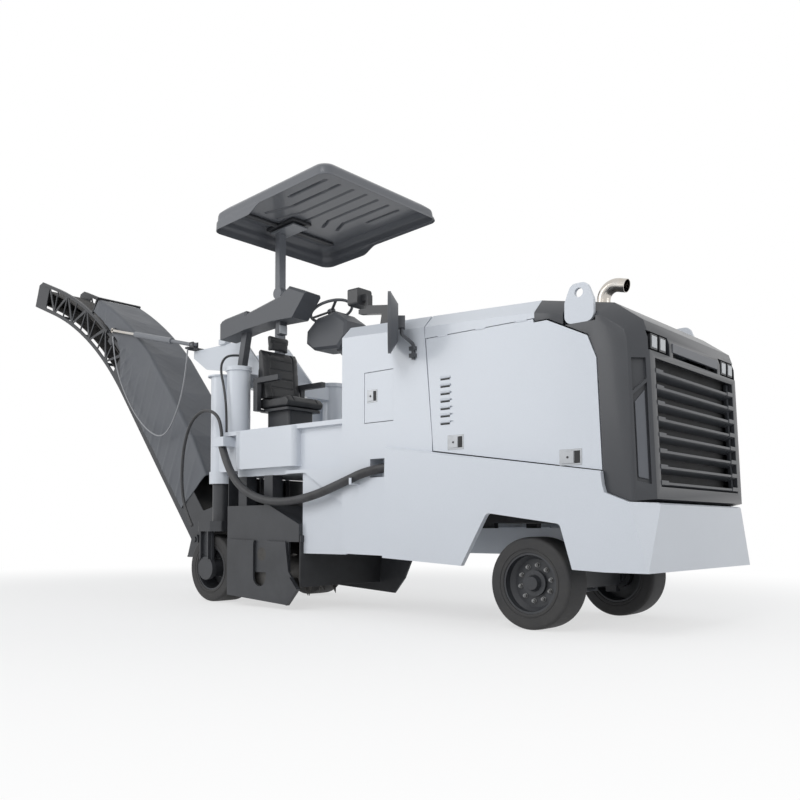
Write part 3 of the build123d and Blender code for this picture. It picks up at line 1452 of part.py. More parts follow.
# ---- seat: base, moulded cushions with side bolsters, headrest and armrests ----
seat_x, seat_y = 650.0, -300.0
seat_w = 500.0
cushion_z = 1880.0
with BuildPart() as seat_base:
    with BuildSketch(Plane.XY.offset(deck_z)):
        with Locations((seat_x, seat_y)):
            RectangleRounded(400, 380, 40)
    extrude(amount=40)
    with BuildSketch(Plane.XY.offset(deck_z + 40)):
        with Locations((seat_x, seat_y)):
            RectangleRounded(330, 320, 30)
    extrude(amount=cushion_z - deck_z - 60)
    with BuildSketch(Plane.XY.offset(cushion_z - 24)):
        with Locations((seat_x, seat_y)):
            RectangleRounded(420, 440, 30)
    extrude(amount=24 - seat_gap)
    for side in (RIGHT, LEFT):
        with BuildSketch(Plane.XZ.offset(-seat_y - side * (seat_w / 2 + 12))):
            with BuildLine():
                Polyline(
                    (seat_x - 190, cushion_z - 20), (seat_x - 130, cushion_z - 20),
                    (seat_x - 130, cushion_z + 250), (seat_x + 170, cushion_z + 250),
                    (seat_x + 170, cushion_z + 300), (seat_x - 190, cushion_z + 300),
                    close=True,
                )
            make_face()
        extrude(amount=-side * 50)
        with Locations((seat_x - 160, seat_y + side * 230, cushion_z - 12)):
            Box(60, 140, 20)
seat_base.part.label = "seat_base"
export_step(seat_base.part, "parts/seat_base.step")

with BuildPart() as seat_cushion:
    with BuildSketch(Plane.XZ.offset(-seat_y + seat_w / 2)) as seat_side:
        with BuildLine():
            Polyline(
                (seat_x - 170, cushion_z), (seat_x + 230, cushion_z),
                (seat_x + 250, cushion_z + 60), (seat_x + 200, cushion_z + 120),
                (seat_x - 60, cushion_z + 96), (seat_x - 120, cushion_z + 250),
                (seat_x - 140, cushion_z + 560), (seat_x - 175, cushion_z + 620),
                (seat_x - 225, cushion_z + 600), (seat_x - 235, cushion_z + 200),
                (seat_x - 215, cushion_z + 60),
                close=True,
            )
        make_face()
        fillet(seat_side.vertices().filter_by(lambda v: v.Z > cushion_z + 40), 18)
    extrude(amount=-seat_w)
    with BuildSketch(Plane.XZ.offset(-seat_y + 130)) as rest_side:
        with BuildLine():
            Polyline(
                (seat_x - 215, cushion_z + 590), (seat_x - 160, cushion_z + 590),
                (seat_x - 150, cushion_z + 740), (seat_x - 180, cushion_z + 770),
                (seat_x - 222, cushion_z + 760), close=True,
            )
        make_face()
    extrude(amount=-260)
seat_cushion.part.label = "seat_cushion"
export_step(seat_cushion.part, "parts/seat_cushion.step")

# ---- operator console on its inclined post, with the square work lamp ----
console_y = -482.0
console_w = 210.0
with BuildPart() as console:
    with BuildSketch(Plane.XZ.offset(-console_y + console_w / 2)) as console_side:
        with BuildLine():
            Polyline(
                (-100, 2640), (-100, 2800), (-40, 2850), (290, 2880), (300, 2850),
                (810, 2940), (930, 3010), (1170, 2910), (985, 2700), (680, 2710),
                (300, 2690), close=True,
            )
        make_face()
    extrude(amount=-console_w)
    rim_edges = console.edges().filter_by(
        lambda e: abs(abs(e.center().Y - console_y) - console_w / 2) < 1 and e.center().Z > 2860
    )
    chamfer(rim_edges, 22)
    # inclined post down to the deck
    with BuildSketch(Plane.XZ.offset(-console_y + 35)):
        with BuildLine():
            Polyline(
                (165, 2700), (245, 2700), (130, 2200), (130, deck_z), (60, deck_z), (60, 2200), close=True,
            )
        make_face()
    extrude(amount=-70)
    with BuildSketch(Plane.XY.offset(deck_z)):
        with Locations((95, console_y + 10)):
            Rectangle(180, 80)
    extrude(amount=14)
    with Locations((730, console_y - 10, 2650)):
        Box(60, 90, 130)
console.part.label = "console"
export_step(console.part, "parts/console.step")

# ---- steering console and wheel ----
wheel_mid = (1060.0, -140.0, 2830.0)
wheel_r = 205.0
wheel_tilt = 20.0
wheel_plane = Plane(
    origin=wheel_mid, x_dir=(cos(radians(wheel_tilt)), 0, sin(radians(wheel_tilt))),
    z_dir=(-sin(radians(wheel_tilt)), 0, cos(radians(wheel_tilt))),
)
with BuildPart() as steering_console:
    with BuildSketch(Plane.XZ.offset(-wheel_mid[1] + 150)):
        with BuildLine():
            Polyline(
                (860, 2640), (1000, 2745), (1240, 2770), (1400, 2660), (1390, 2520), (1290, 2420),
                (960, 2440), (850, 2520), close=True,
            )
        make_face()
    extrude(amount=-300)
    side_edges = steering_console.edges().filter_by(
        lambda e: abs(abs(e.center().Y - wheel_mid[1]) - 150) < 1
    )
    chamfer(side_edges, 24)
    with BuildSketch(wheel_plane.offset(-120)):
        Circle(32)
    extrude(amount=100)
    # pedestal down to the deck and the bracket to the cabinet
    with BuildSketch(Plane.XZ.offset(-wheel_mid[1] + 60)):
        with BuildLine():
            Polyline(
                (1150, 2460), (1300, 2460), (1700, 2120), (1700, deck_z), (1590, deck_z), (1590, 2080),
                close=True,
            )
        make_face()
    extrude(amount=-120)
    # wheel: rim, hub, three spokes and the spinner knob
    with BuildSketch(Plane(origin=wheel_mid, x_dir=wheel_plane.x_dir, z_dir=(0, -1, 0))):
        with Locations((wheel_r, 0)):
            Circle(14)
    revolve(axis=Axis(wheel_mid, wheel_plane.z_dir))
    with BuildSketch(wheel_plane.offset(-22)):
        Circle(40)
    extrude(amount=32)
    for turn in (90, 210, 330):
        with BuildSketch(wheel_plane.offset(-6)):
            with Locations(Location((wheel_r / 2 * cos(radians(turn)), wheel_r / 2 * sin(radians(turn))), turn)):
                Rectangle(wheel_r - 6, 24)
        extrude(amount=12)
    with BuildSketch(wheel_plane):
        with Locations((wheel_r * cos(radians(150)), wheel_r * sin(radians(150)))):
            Circle(20)
    extrude(amount=60)
steering_console.part.label = "steering_console"
export_step(steering_console.part, "parts/steering_console.step")

# ---- mirrors: domed discs outboard of the cabinet, on bent tubes clamped to its sides ----
mirror_mid_y = 1062.0
mirror_mid = (2632.0, 2300.0)
mirror_r = 235.0
mirror_turn = 49.0                 # the dome points forward and inward
with BuildPart() as mirrors:
    for side in (RIGHT, LEFT):
        back = Vector(sin(radians(mirror_turn)), -side * cos(radians(mirror_turn)), 0)
        disc = Plane(origin=(mirror_mid[0], side * mirror_mid_y, mirror_mid[1]), x_dir=(0, 0, 1), z_dir=back)
        with BuildSketch(disc.offset(-12)):
            Circle(mirror_r)
        extrude(amount=24)
        with BuildSketch(disc.offset(12)):
            Circle(mirror_r - 6)
        extrude(amount=56, taper=58)
        with BuildSketch(disc.offset(60)):
            Rectangle(90, 84)
        extrude(amount=60)
        neck = disc.origin + back * 90
        foot_y = side * (side_half + 14 + seat_gap)
        with BuildLine():
            FilletPolyline(
                (neck.X, neck.Y, neck.Z), (neck.X + 4, neck.Y, neck.Z - 90),
                (neck.X + 20, foot_y, neck.Z - 150), (neck.X + 20, foot_y, neck.Z - 270),
                radius=[28, 28],
            )
        with BuildSketch(Plane(origin=(neck.X, neck.Y, neck.Z), z_dir=(4, 0, -90))):
            Circle(14)
        sweep()
        for drop in (185, 240):
            with Locations((neck.X + 20, foot_y + side * 4, neck.Z - drop)):
                Box(52, 36, 30)
mirrors.part.label = "mirrors"
export_step(mirrors.part, "parts/mirrors.step")

# ---- work lamp and grey bracket plate at the platform's front edge ----
with BuildPart() as work_lamp:
    with BuildSketch(Plane.YZ.offset(1625)):
        with Locations((-400, 2790)):
            RectangleRounded(190, 150, 22)
    extrude(amount=120)
    with Locations((1760, -400, 2780)):
        Box(60, 60, 60)
    with BuildSketch(Plane.XZ.offset(430)):
        with BuildLine():
            Polyline(
                (1700, 2680), (1785, 2680), (1785, 2800), (1815, 2800), (1815, 2700), (2080, 2660),
                (2080, 2580), (2020, roof_z(2020) + 30), (2020, roof_z(2020) + seat_gap),
                (1950, roof_z(1950) + seat_gap), (1950, roof_z(1950) + 30), (1980, 2600),
                (1700, 2640), close=True,
            )
        make_face()
    extrude(amount=-60)
work_lamp.part.label = "work_lamp"
export_step(work_lamp.part, "parts/work_lamp.step")


# ---- hoses and wire: straight runs joined by tangent arcs ----
def hose_radii(points):
    """Radius at each inner point: 0.45 of the shorter run over the tangent of half the turn."""
    radii = []
    for a, b, c in zip(points, points[1:], points[2:]):
        first = Vector(*b) - Vector(*a)
        second = Vector(*c) - Vector(*b)
        half_turn = radians(first.get_angle(second)) / 2
        radii.append(0.45 * min(first.length, second.length) * cos(half_turn) / sin(half_turn))
    return radii


hose_y = -side_half - 47.0
bundle_r = 37.5
arch_r = 16.0
thin_r = 12.0
wire_r = 8.0
wire_y = -424.0
hose_table = {
    "hose_bundle": (bundle_r, (
        (2480, -790, 1218), (2290, hose_y, 1193), (1980, hose_y, 1095), (1620, hose_y, 990),
        (1250, hose_y, 945), (900, hose_y, 985), (620, hose_y, 1120), (430, hose_y + 12, 1325),
        (clamp_x, -880, clamp_z[0] + 4),
    )),
    "hose_arch": (arch_r, (
        (clamp_x + 10, -892, clamp_z[1] - 1), (325, -892, 1735), (210, -892, 1850),
        (20, -888, 1880), (-170, -880, 1790), (-290, -870, 1600), (-345, -862, 1380),
        (-355, -858, 1150), (-310, -855, 930), (-180, -852, 745),
    )),
    "hose_thin": (thin_r, (
        (290, -800, clamp_z[1] - 1), (292, -800, 1830), (262, -804, 2060), (170, -790, 2290),
        (50, -650, 2430), (-50, -470, 2500), (-100, -326, 2520),
    )),
    "light_wire": (wire_r, (
        (-2430, wire_y, 3050), (-2395, wire_y, 2850), (-2335, wire_y, 2660), (-2240, wire_y, 2470),
        (-2120, wire_y, 2290), (-1975, wire_y, 2115), (-1810, wire_y, 1960), (-1620, wire_y, 1830),
        (-1420, wire_y, 1755), (-1270, wire_y, 1795), (-1150, wire_y, 1920), (-1050, wire_y, 2080),
        (-975, wire_y, 2260), (-925, wire_y, 2450), (slew_x, wire_y, head_z[0] + 2),
    )),
}
for name, (tube_r, route) in hose_table.items():
    radii = hose_radii(route)
    with BuildPart() as hose:
        with BuildLine() as path:
            FilletPolyline(*route, radius=radii)
        start = Vector(*route[0])
        with BuildSketch(Plane(origin=start, z_dir=Vector(*route[1]) - start)):
            Circle(tube_r)
        sweep()
    length = path.wires()[0].length
    print(name, "length", round(length), "radii", [round(r) for r in radii],
          "volume ratio", round(hose.part.volume / (3.14159265 * tube_r ** 2 * length), 4))
    hose.part.label = name
    export_step(hose.part, f"parts/{name}.step")
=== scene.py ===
import bpy
from math import atan2, cos, hypot, pi, radians, sin
from mathutils import Matrix, Vector


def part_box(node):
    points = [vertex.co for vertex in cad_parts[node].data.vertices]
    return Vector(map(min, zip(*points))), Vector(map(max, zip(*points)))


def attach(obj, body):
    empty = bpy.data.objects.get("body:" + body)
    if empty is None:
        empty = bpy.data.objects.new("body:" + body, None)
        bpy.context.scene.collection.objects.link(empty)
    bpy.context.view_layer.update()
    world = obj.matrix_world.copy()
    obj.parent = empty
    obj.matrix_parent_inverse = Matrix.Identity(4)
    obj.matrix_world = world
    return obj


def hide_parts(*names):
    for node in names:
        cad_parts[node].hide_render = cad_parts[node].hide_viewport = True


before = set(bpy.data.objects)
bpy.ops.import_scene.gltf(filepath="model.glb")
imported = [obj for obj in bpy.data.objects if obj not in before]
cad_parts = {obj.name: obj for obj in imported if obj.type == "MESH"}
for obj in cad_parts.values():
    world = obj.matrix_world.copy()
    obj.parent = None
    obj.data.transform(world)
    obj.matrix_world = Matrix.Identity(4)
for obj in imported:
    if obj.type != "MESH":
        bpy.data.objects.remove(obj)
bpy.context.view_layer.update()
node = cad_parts
bpy.ops.object.select_all(action="DESELECT")

# ---- studio ----
# White seamless floor that keeps the machine's shadow and fades into the white backdrop, three
# soft boxes and an even sky. The camera stands low off the machine's right front corner.
scene = bpy.context.scene
scene.view_settings.view_transform = "Standard"


def shown_white(nodes, links):
    """One where a ray comes from the lens, a mirror-like surface or glass, and nought elsewhere."""
    path = nodes.new("ShaderNodeLightPath")
    either = nodes.new("ShaderNodeMath")
    either.operation = "MAXIMUM"
    links.new(path.outputs["Is Camera Ray"], either.inputs[0])
    links.new(path.outputs["Is Glossy Ray"], either.inputs[1])
    any_of = nodes.new("ShaderNodeMath")
    any_of.operation = "MAXIMUM"
    links.new(either.outputs[0], any_of.inputs[0])
    links.new(path.outputs["Is Transmission Ray"], any_of.inputs[1])
    return any_of.outputs[0]


bpy.ops.mesh.primitive_plane_add(size=120, location=(0, 0, 0))
floor = bpy.context.object
floor.name = "studio_floor"
floor_finish = bpy.data.materials.new("studio_floor")
floor_finish.use_nodes = True
floor_nodes = floor_finish.node_tree.nodes
floor_links = floor_finish.node_tree.links
floor_nodes["Principled BSDF"].inputs["Base Color"].default_value = (0.85, 0.85, 0.85, 1)
floor_nodes["Principled BSDF"].inputs["Roughness"].default_value = 0.9
glow = floor_nodes.new("ShaderNodeEmission")
glow.inputs["Strength"].default_value = 1.0
blend_glow = floor_nodes.new("ShaderNodeMixShader")
place = floor_nodes.new("ShaderNodeTexCoord")
distance = floor_nodes.new("ShaderNodeVectorMath")
distance.operation = "LENGTH"
fade = floor_nodes.new("ShaderNodeMapRange")
fade.interpolation_type = "SMOOTHSTEP"
fade.inputs["From Min"].default_value = 3.0
fade.inputs["From Max"].default_value = 8.5
fade.inputs["To Min"].default_value = 0.62
fade.inputs["To Max"].default_value = 1.0
share = floor_nodes.new("ShaderNodeMath")
share.operation = "MULTIPLY"
floor_links.new(place.outputs["Object"], distance.inputs[0])
floor_links.new(distance.outputs["Value"], fade.inputs["Value"])
floor_links.new(fade.outputs["Result"], share.inputs[0])
floor_links.new(shown_white(floor_nodes, floor_links), share.inputs[1])
floor_links.new(share.outputs[0], blend_glow.inputs["Fac"])
floor_links.new(floor_nodes["Principled BSDF"].outputs["BSDF"], blend_glow.inputs[1])
floor_links.new(glow.outputs["Emission"], blend_glow.inputs[2])
floor_links.new(blend_glow.outputs["Shader"], floor_nodes["Material Output"].inputs["Surface"])
floor.data.materials.append(floor_finish)

world = bpy.data.worlds.new("studio_sky")
world.use_nodes = True
scene.world = world
sky = world.node_tree.nodes
sky["Background"].inputs["Color"].default_value = (0.94, 0.97, 1.0, 1)
sky["Background"].inputs["Strength"].default_value = 0.50
bright = sky.new("ShaderNodeBackground")
bright.inputs["Color"].default_value = (1, 1, 1, 1)
bright.inputs["Strength"].default_value = 1.0
sky_mix = sky.new("ShaderNodeMixShader")
world.node_tree.links.new(shown_white(sky, world.node_tree.links), sky_mix.inputs["Fac"])
world.node_tree.links.new(sky["Background"].outputs["Background"], sky_mix.inputs[1])
world.node_tree.links.new(bright.outputs["Background"], sky_mix.inputs[2])
world.node_tree.links.new(sky_mix.outputs["Shader"], sky["World Output"].inputs["Surface"])

for lamp_name, stand, aim, energy, size in (
    ("key_softbox", (5.0, -11.0, 9.5), (0.5, 0, 1.5), 520, 6.0),
    ("side_softbox", (-6.0, -11.0, 6.0), (-1.0, 0, 1.5), 300, 7.0),
    ("front_softbox", (13.0, 1.0, 5.0), (2.5, 0, 1.2), 110, 5.0),
):
    light = bpy.data.lights.new(lamp_name, "AREA")
    light.energy = energy
    light.size = size
    light_object = bpy.data.objects.new(lamp_name, light)
    scene.collection.objects.link(light_object)
    light_object.location = stand
    light_object.rotation_euler = (Vector(aim) - Vector(stand)).to_track_quat("-Z", "Y").to_euler()

camera_data = bpy.data.cameras.new("camera")
camera_data.lens = 38.475
camera_data.sensor_width = 36.0
camera_data.shift_y = 0.125
camera = bpy.data.objects.new("camera", camera_data)
camera.location = (6.962, -5.942, 0.715)
turn, tilt = radians(40.87), radians(1.93)
sight = Vector((-sin(turn) * cos(tilt), cos(turn) * cos(tilt), sin(tilt)))
camera.rotation_euler = sight.to_track_quat("-Z", "Y").to_euler()
scene.collection.objects.link(camera)
scene.camera = camera

# ---- hydraulic hoses and the lamp wire ----
# Black rubber hoses: the thick wrapped bundle sags from the cabinet's slot to the clamp block,
# an arched hose feeds the right leg, a thin one the gallows, and a slack wire runs to the boom.
def weathering_group():
    """Shader group: even dirt in broad patches, fine grain, and a roughness that follows the dirt."""
    group = bpy.data.node_groups.new("weathering", "ShaderNodeTree")
    for label, kind, value in (
        ("Colour", "NodeSocketColor", (0.5, 0.5, 0.5, 1)),
        ("Dirt", "NodeSocketColor", (0.3, 0.27, 0.22, 1)),
        ("Amount", "NodeSocketFloat", 0.2),
        ("Patch scale", "NodeSocketFloat", 1.5),
        ("Grain scale", "NodeSocketFloat", 90.0),
        ("Roughness", "NodeSocketFloat", 0.4),
        ("Low dirt", "NodeSocketFloat", 0.0),
    ):
        socket = group.interface.new_socket(name=label, in_out="INPUT", socket_type=kind)
        socket.default_value = value
    for label, kind in (("Colour", "NodeSocketColor"), ("Roughness", "NodeSocketFloat"),
                        ("Height", "NodeSocketFloat")):
        group.interface.new_socket(name=label, in_out="OUTPUT", socket_type=kind)
    nodes, links = group.nodes, group.links
    given = nodes.new("NodeGroupInput")
    result = nodes.new("NodeGroupOutput")
    coords = nodes.new("ShaderNodeTexCoord")
    patches = nodes.new("ShaderNodeTexNoise")
    patches.inputs["Detail"].default_value = 6
    patches.inputs["Roughness"].default_value = 0.6
    grain = nodes.new("ShaderNodeTexNoise")
    grain.inputs["Detail"].default_value = 3
    links.new(coords.outputs["Object"], patches.inputs["Vector"])
    links.new(coords.outputs["Object"], grain.inputs["Vector"])
    links.new(given.outputs["Patch scale"], patches.inputs["Scale"])
    links.new(given.outputs["Grain scale"], grain.inputs["Scale"])
    spread = nodes.new("ShaderNodeMapRange")
    spread.inputs["From Min"].default_value = 0.35
    spread.inputs["From Max"].default_value = 0.75
    links.new(patches.outputs["Fac"], spread.inputs["Value"])
    split = nodes.new("ShaderNodeSeparateXYZ")
    links.new(coords.outputs["Object"], split.inputs["Vector"])
    low = nodes.new("ShaderNodeMapRange")
    low.inputs["From Min"].default_value = 1.1
    low.inputs["From Max"].default_value = 0.25
    links.new(split.outputs["Z"], low.inputs["Value"])
    low_share = nodes.new("ShaderNodeMath")
    low_share.operation = "MULTIPLY"
    links.new(low.outputs["Result"], low_share.inputs[0])
    links.new(given.outputs["Low dirt"], low_share.inputs[1])
    total = nodes.new("ShaderNodeMath")
    total.operation = "ADD"
    links.new(given.outputs["Amount"], total.inputs[0])
    links.new(low_share.outputs[0], total.inputs[1])
    share = nodes.new("ShaderNodeMath")
    share.operation = "MULTIPLY"
    share.use_clamp = True
    links.new(spread.outputs["Result"], share.inputs[0])
    links.new(total.outputs[0], share.inputs[1])
    mix = nodes.new("ShaderNodeMix")
    mix.data_type = "RGBA"
    links.new(share.outputs[0], mix.inputs["Factor"])
    links.new(given.outputs["Colour"], mix.inputs[6])
    links.new(given.outputs["Dirt"], mix.inputs[7])
    speck = nodes.new("ShaderNodeMix")
    speck.data_type = "RGBA"
    speck.blend_type = "MULTIPLY"
    speck.inputs["Factor"].default_value = 0.10
    links.new(mix.outputs[2], speck.inputs[6])
    links.new(grain.outputs["Fac"], speck.inputs[7])
    rough = nodes.new("ShaderNodeMath")
    rough.operation = "MULTIPLY_ADD"
    links.new(share.outputs[0], rough.inputs[0])
    rough.inputs[1].default_value = 0.35
    links.new(given.outputs["Roughness"], rough.inputs[2])
    links.new(speck.outputs[2], result.inputs["Colour"])
    links.new(rough.outputs[0], result.inputs["Roughness"])
    links.new(grain.outputs["Fac"], result.inputs["Height"])
    return group


weathering = weathering_group()


def coat(name, colour, roughness, amount=0.15, dirt=(0.15, 0.155, 0.165), patch=1.6, grain=110.0,
         bump=0.05, metallic=0.0, gloss=0.0, low_dirt=0.0):
    """Painted, moulded or metal finish with broad dirt and a fine surface grain."""
    made = bpy.data.materials.new(name)
    made.use_nodes = True
    nodes, links = made.node_tree.nodes, made.node_tree.links
    shader = nodes["Principled BSDF"]
    shader.inputs["Metallic"].default_value = metallic
    shader.inputs["Coat Weight"].default_value = gloss
    shader.inputs["Coat Roughness"].default_value = 0.12
    worn = nodes.new("ShaderNodeGroup")
    worn.node_tree = weathering
    worn.inputs["Colour"].default_value = (*colour, 1)
    worn.inputs["Dirt"].default_value = (*dirt, 1)
    worn.inputs["Amount"].default_value = amount
    worn.inputs["Patch scale"].default_value = patch
    worn.inputs["Grain scale"].default_value = grain
    worn.inputs["Roughness"].default_value = roughness
    worn.inputs["Low dirt"].default_value = low_dirt
    relief = nodes.new("ShaderNodeBump")
    relief.inputs["Strength"].default_value = bump
    relief.inputs["Distance"].default_value = 0.002
    links.new(worn.outputs["Colour"], shader.inputs["Base Color"])
    links.new(worn.outputs["Roughness"], shader.inputs["Roughness"])
    links.new(worn.outputs["Height"], relief.inputs["Height"])
    links.new(relief.outputs["Normal"], shader.inputs["Normal"])
    return made


def dress(made, *names):
    """Gives CAD nodes their finish."""
    for name in names:
        slots = node[name].data.materials
        slots.clear()
        slots.append(made)


hose_rubber = coat("hose_rubber", (0.018, 0.018, 0.020), 0.42, amount=0.25, patch=9, grain=260, bump=0.12)


def hose(name, points, radius, body, made):
    """A round hose of its measured length, a smooth curve with the route's corners as control points."""
    line = bpy.data.curves.new(name + "_line", "CURVE")
    line.dimensions = "3D"
    spline = line.splines.new("NURBS")
    spline.points.add(len(points) - 1)
    for control, place in zip(spline.points, points):
        control.co = (*place, 1)
    spline.order_u = 3
    spline.use_endpoint_u = True
    line.resolution_u = 10
    line.bevel_depth = radius
    line.bevel_resolution = 5
    line.use_fill_caps = True
    piece = bpy.data.objects.new(name + "_rubber", line)
    scene.collection.objects.link(piece)
    line.materials.append(made)
    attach(piece, body)
    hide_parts(name)
    return piece


hose_y = -0.915
wire_y = -0.424
bundle_route = (
    (2.480, -0.790, 1.218), (2.290, hose_y, 1.193), (1.980, hose_y, 1.095), (1.620, hose_y, 0.990),
    (1.250, hose_y, 0.945), (0.900, hose_y, 0.985), (0.620, hose_y, 1.120), (0.430, hose_y + 0.012, 1.325),
    (0.330, -0.880, 1.504),
)
arch_route = (
    (0.340, -0.892, 1.589), (0.325, -0.892, 1.735), (0.210, -0.892, 1.850), (0.020, -0.888, 1.880),
    (-0.170, -0.880, 1.790), (-0.290, -0.870, 1.600), (-0.345, -0.862, 1.380), (-0.355, -0.858, 1.150),
    (-0.310, -0.855, 0.930), (-0.180, -0.852, 0.745),
)
thin_route = (
    (0.290, -0.800, 1.589), (0.292, -0.800, 1.830), (0.262, -0.804, 2.060), (0.170, -0.790, 2.290),
    (0.050, -0.650, 2.430), (-0.050, -0.470, 2.500), (-0.100, -0.326, 2.520),
)
wire_route = (
    (-2.430, wire_y, 3.050), (-2.395, wire_y, 2.850), (-2.335, wire_y, 2.660), (-2.240, wire_y, 2.470),
    (-2.120, wire_y, 2.290), (-1.975, wire_y, 2.115), (-1.810, wire_y, 1.960), (-1.620, wire_y, 1.830),
    (-1.420, wire_y, 1.755), (-1.270, wire_y, 1.795), (-1.150, wire_y, 1.920), (-1.050, wire_y, 2.080),
    (-0.975, wire_y, 2.260), (-0.925, wire_y, 2.450), (-0.890, wire_y, 2.688),
)
hose("hose_bundle", bundle_route, 0.0375, "chassis", hose_rubber)
hose("hose_arch", arch_route, 0.016, "chassis", hose_rubber)
hose("hose_thin", thin_route, 0.012, "chassis", hose_rubber)
wire_sheath = coat("wire_sheath", (0.34, 0.345, 0.36), 0.45, amount=0.2, patch=9, grain=260, bump=0.08)
hose("light_wire", wire_route, 0.008, "slew", wire_sheath)

# ---- white sheet-metal body ----
# Folded and welded steel panels in satin machinery white: skirts, cabinet, engine doors, roof,
# bumper, platform and the gallows, bolted and welded to the main frame.
white_paint = coat("white_paint", (0.69, 0.725, 0.78), 0.32, amount=0.05, dirt=(0.42, 0.43, 0.45), patch=0.9,
                   grain=240, bump=0.02, gloss=0.30, low_dirt=0.12)
dress(white_paint, "main_frame", "skirt_right", "skirt_left", "front_bumper", "cabinet", "service_door",
      "engine_door_right", "engine_door_left", "hood_roof", "rear_frame", "platform", "gallows",
      "lifting_eyes")

# ---- charcoal mask, grille, sign plate and front lamps ----
# Moulded front shell with a long pocket in each corner, eight deep raked slats before a black
# radiator screen, a bare sign plate, and two square lamps with ribbed lenses on each side.
mask_gloss = coat("mask_gloss", (0.040, 0.043, 0.050), 0.34, amount=0.08, patch=1.2, grain=160, bump=0.03,
                  gloss=0.12)
slat_gloss = coat("slat_gloss", (0.052, 0.056, 0.064), 0.34, amount=0.10, patch=2.0, grain=160, bump=0.03,
                  gloss=0.12)
panel_gloss = coat("panel_gloss", (0.115, 0.122, 0.138), 0.36, amount=0.12, patch=2.0, grain=160, bump=0.03,
                   gloss=0.1)
screen_black = coat("screen_black", (0.008, 0.008, 0.009), 0.7, amount=0.2, patch=6, grain=80, bump=0.3)
lamp_body = coat("lamp_body", (0.030, 0.031, 0.034), 0.35, amount=0.1, patch=8, grain=200, bump=0.06)
lens_glass = coat("lens_glass", (0.56, 0.58, 0.60), 0.16, amount=0.10, patch=8, grain=90, bump=0.35,
                  gloss=0.6)


def rectangle(first_low, first_high, second_low, second_high):
    return ((first_low, second_low), (first_high, second_low),
            (first_high, second_high), (first_low, second_high))


def round_edges(piece, width, segments=2, angle=30):
    """A rounded arris along every sharp edge."""
    bpy.context.view_layer.objects.active = piece
    arris = piece.modifiers.new("arris", "BEVEL")
    arris.width = width
    arris.segments = segments
    arris.limit_method = "ANGLE"
    arris.angle_limit = radians(angle)
    bpy.ops.object.modifier_apply(modifier=arris.name)


def fit(piece, made, body):
    piece.data.materials.clear()
    piece.data.materials.append(made)
    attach(piece, body)
    return piece


def slab(name, outline, axis, start, depth, edge=0.0):
    """Plate or block: an outline in the plane square to the axis, drawn out by its depth."""
    bpy.ops.object.select_all(action="DESELECT")
    bpy.ops.mesh.primitive_circle_add(vertices=len(outline), radius=1, fill_type="NGON", location=(0, 0, 0))
    piece = bpy.context.object
    piece.name = name
    for vertex, (first, second) in zip(piece.data.vertices, outline):
        vertex.co = {"X": (start, first, second), "Y": (first, start, second),
                     "Z": (first, second, start)}[axis]
    move = {"X": (depth, 0, 0), "Y": (0, depth, 0), "Z": (0, 0, depth)}[axis]
    bpy.ops.object.mode_set(mode="EDIT")
    bpy.ops.mesh.select_all(action="SELECT")
    bpy.ops.mesh.extrude_region_move(TRANSFORM_OT_translate={"value": move})
    bpy.ops.mesh.select_all(action="SELECT")
    bpy.ops.mesh.normals_make_consistent(inside=False)
    bpy.ops.object.mode_set(mode="OBJECT")
    if edge:
        round_edges(piece, edge)
    return piece


def softened(node_name, name, edge, cutters=()):
    """A CAD panel's shape with cut pockets and rounded edges, standing for the panel."""
    bpy.ops.object.select_all(action="DESELECT")
    piece = bpy.data.objects.new(name, node[node_name].data.copy())
    scene.collection.objects.link(piece)
    bpy.context.view_layer.objects.active = piece
    piece.select_set(True)
    bpy.ops.object.mode_set(mode="EDIT")
    bpy.ops.mesh.select_all(action="SELECT")
    bpy.ops.mesh.remove_doubles(threshold=0.00002)
    bpy.ops.mesh.dissolve_limited(angle_limit=radians(0.6))
    bpy.ops.object.mode_set(mode="OBJECT")
    for cutter in cutters:
        pocket = piece.modifiers.new("pocket", "BOOLEAN")
        pocket.object = cutter
        pocket.operation = "DIFFERENCE"
        pocket.solver = "EXACT"
        bpy.ops.object.modifier_apply(modifier=pocket.name)
        bpy.data.objects.remove(cutter)
    round_edges(piece, edge)
    bpy.ops.object.shade_smooth_by_angle(angle=radians(24))
    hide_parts(node_name)
    return piece


mask_side, corner_cut, chin, brow = 0.868, 0.105, (4.645, 0.905), (4.600, 1.950)
lean = (brow[0] - chin[0]) / (brow[1] - chin[1])


def corner_frame(side):
    """Places a shape drawn in (along the facet, out of it, up) on one of the mask's corner facets."""
    out = Vector((1, side, 0)).normalized()
    along = Vector((1, -side, 0)).normalized()
    up = Vector((lean, 0, 1))
    middle = Vector((chin[0] - corner_cut / 2 - chin[1] * lean, side * (mask_side - corner_cut / 2), 0))
    rows = [[along[i], out[i], up[i], middle[i]] for i in range(3)]
    return Matrix(rows + [[0, 0, 0, 1]])


def on_corner(piece, side):
    piece.data.transform(corner_frame(side))
    if side < 0:
        piece.data.flip_normals()
    return piece


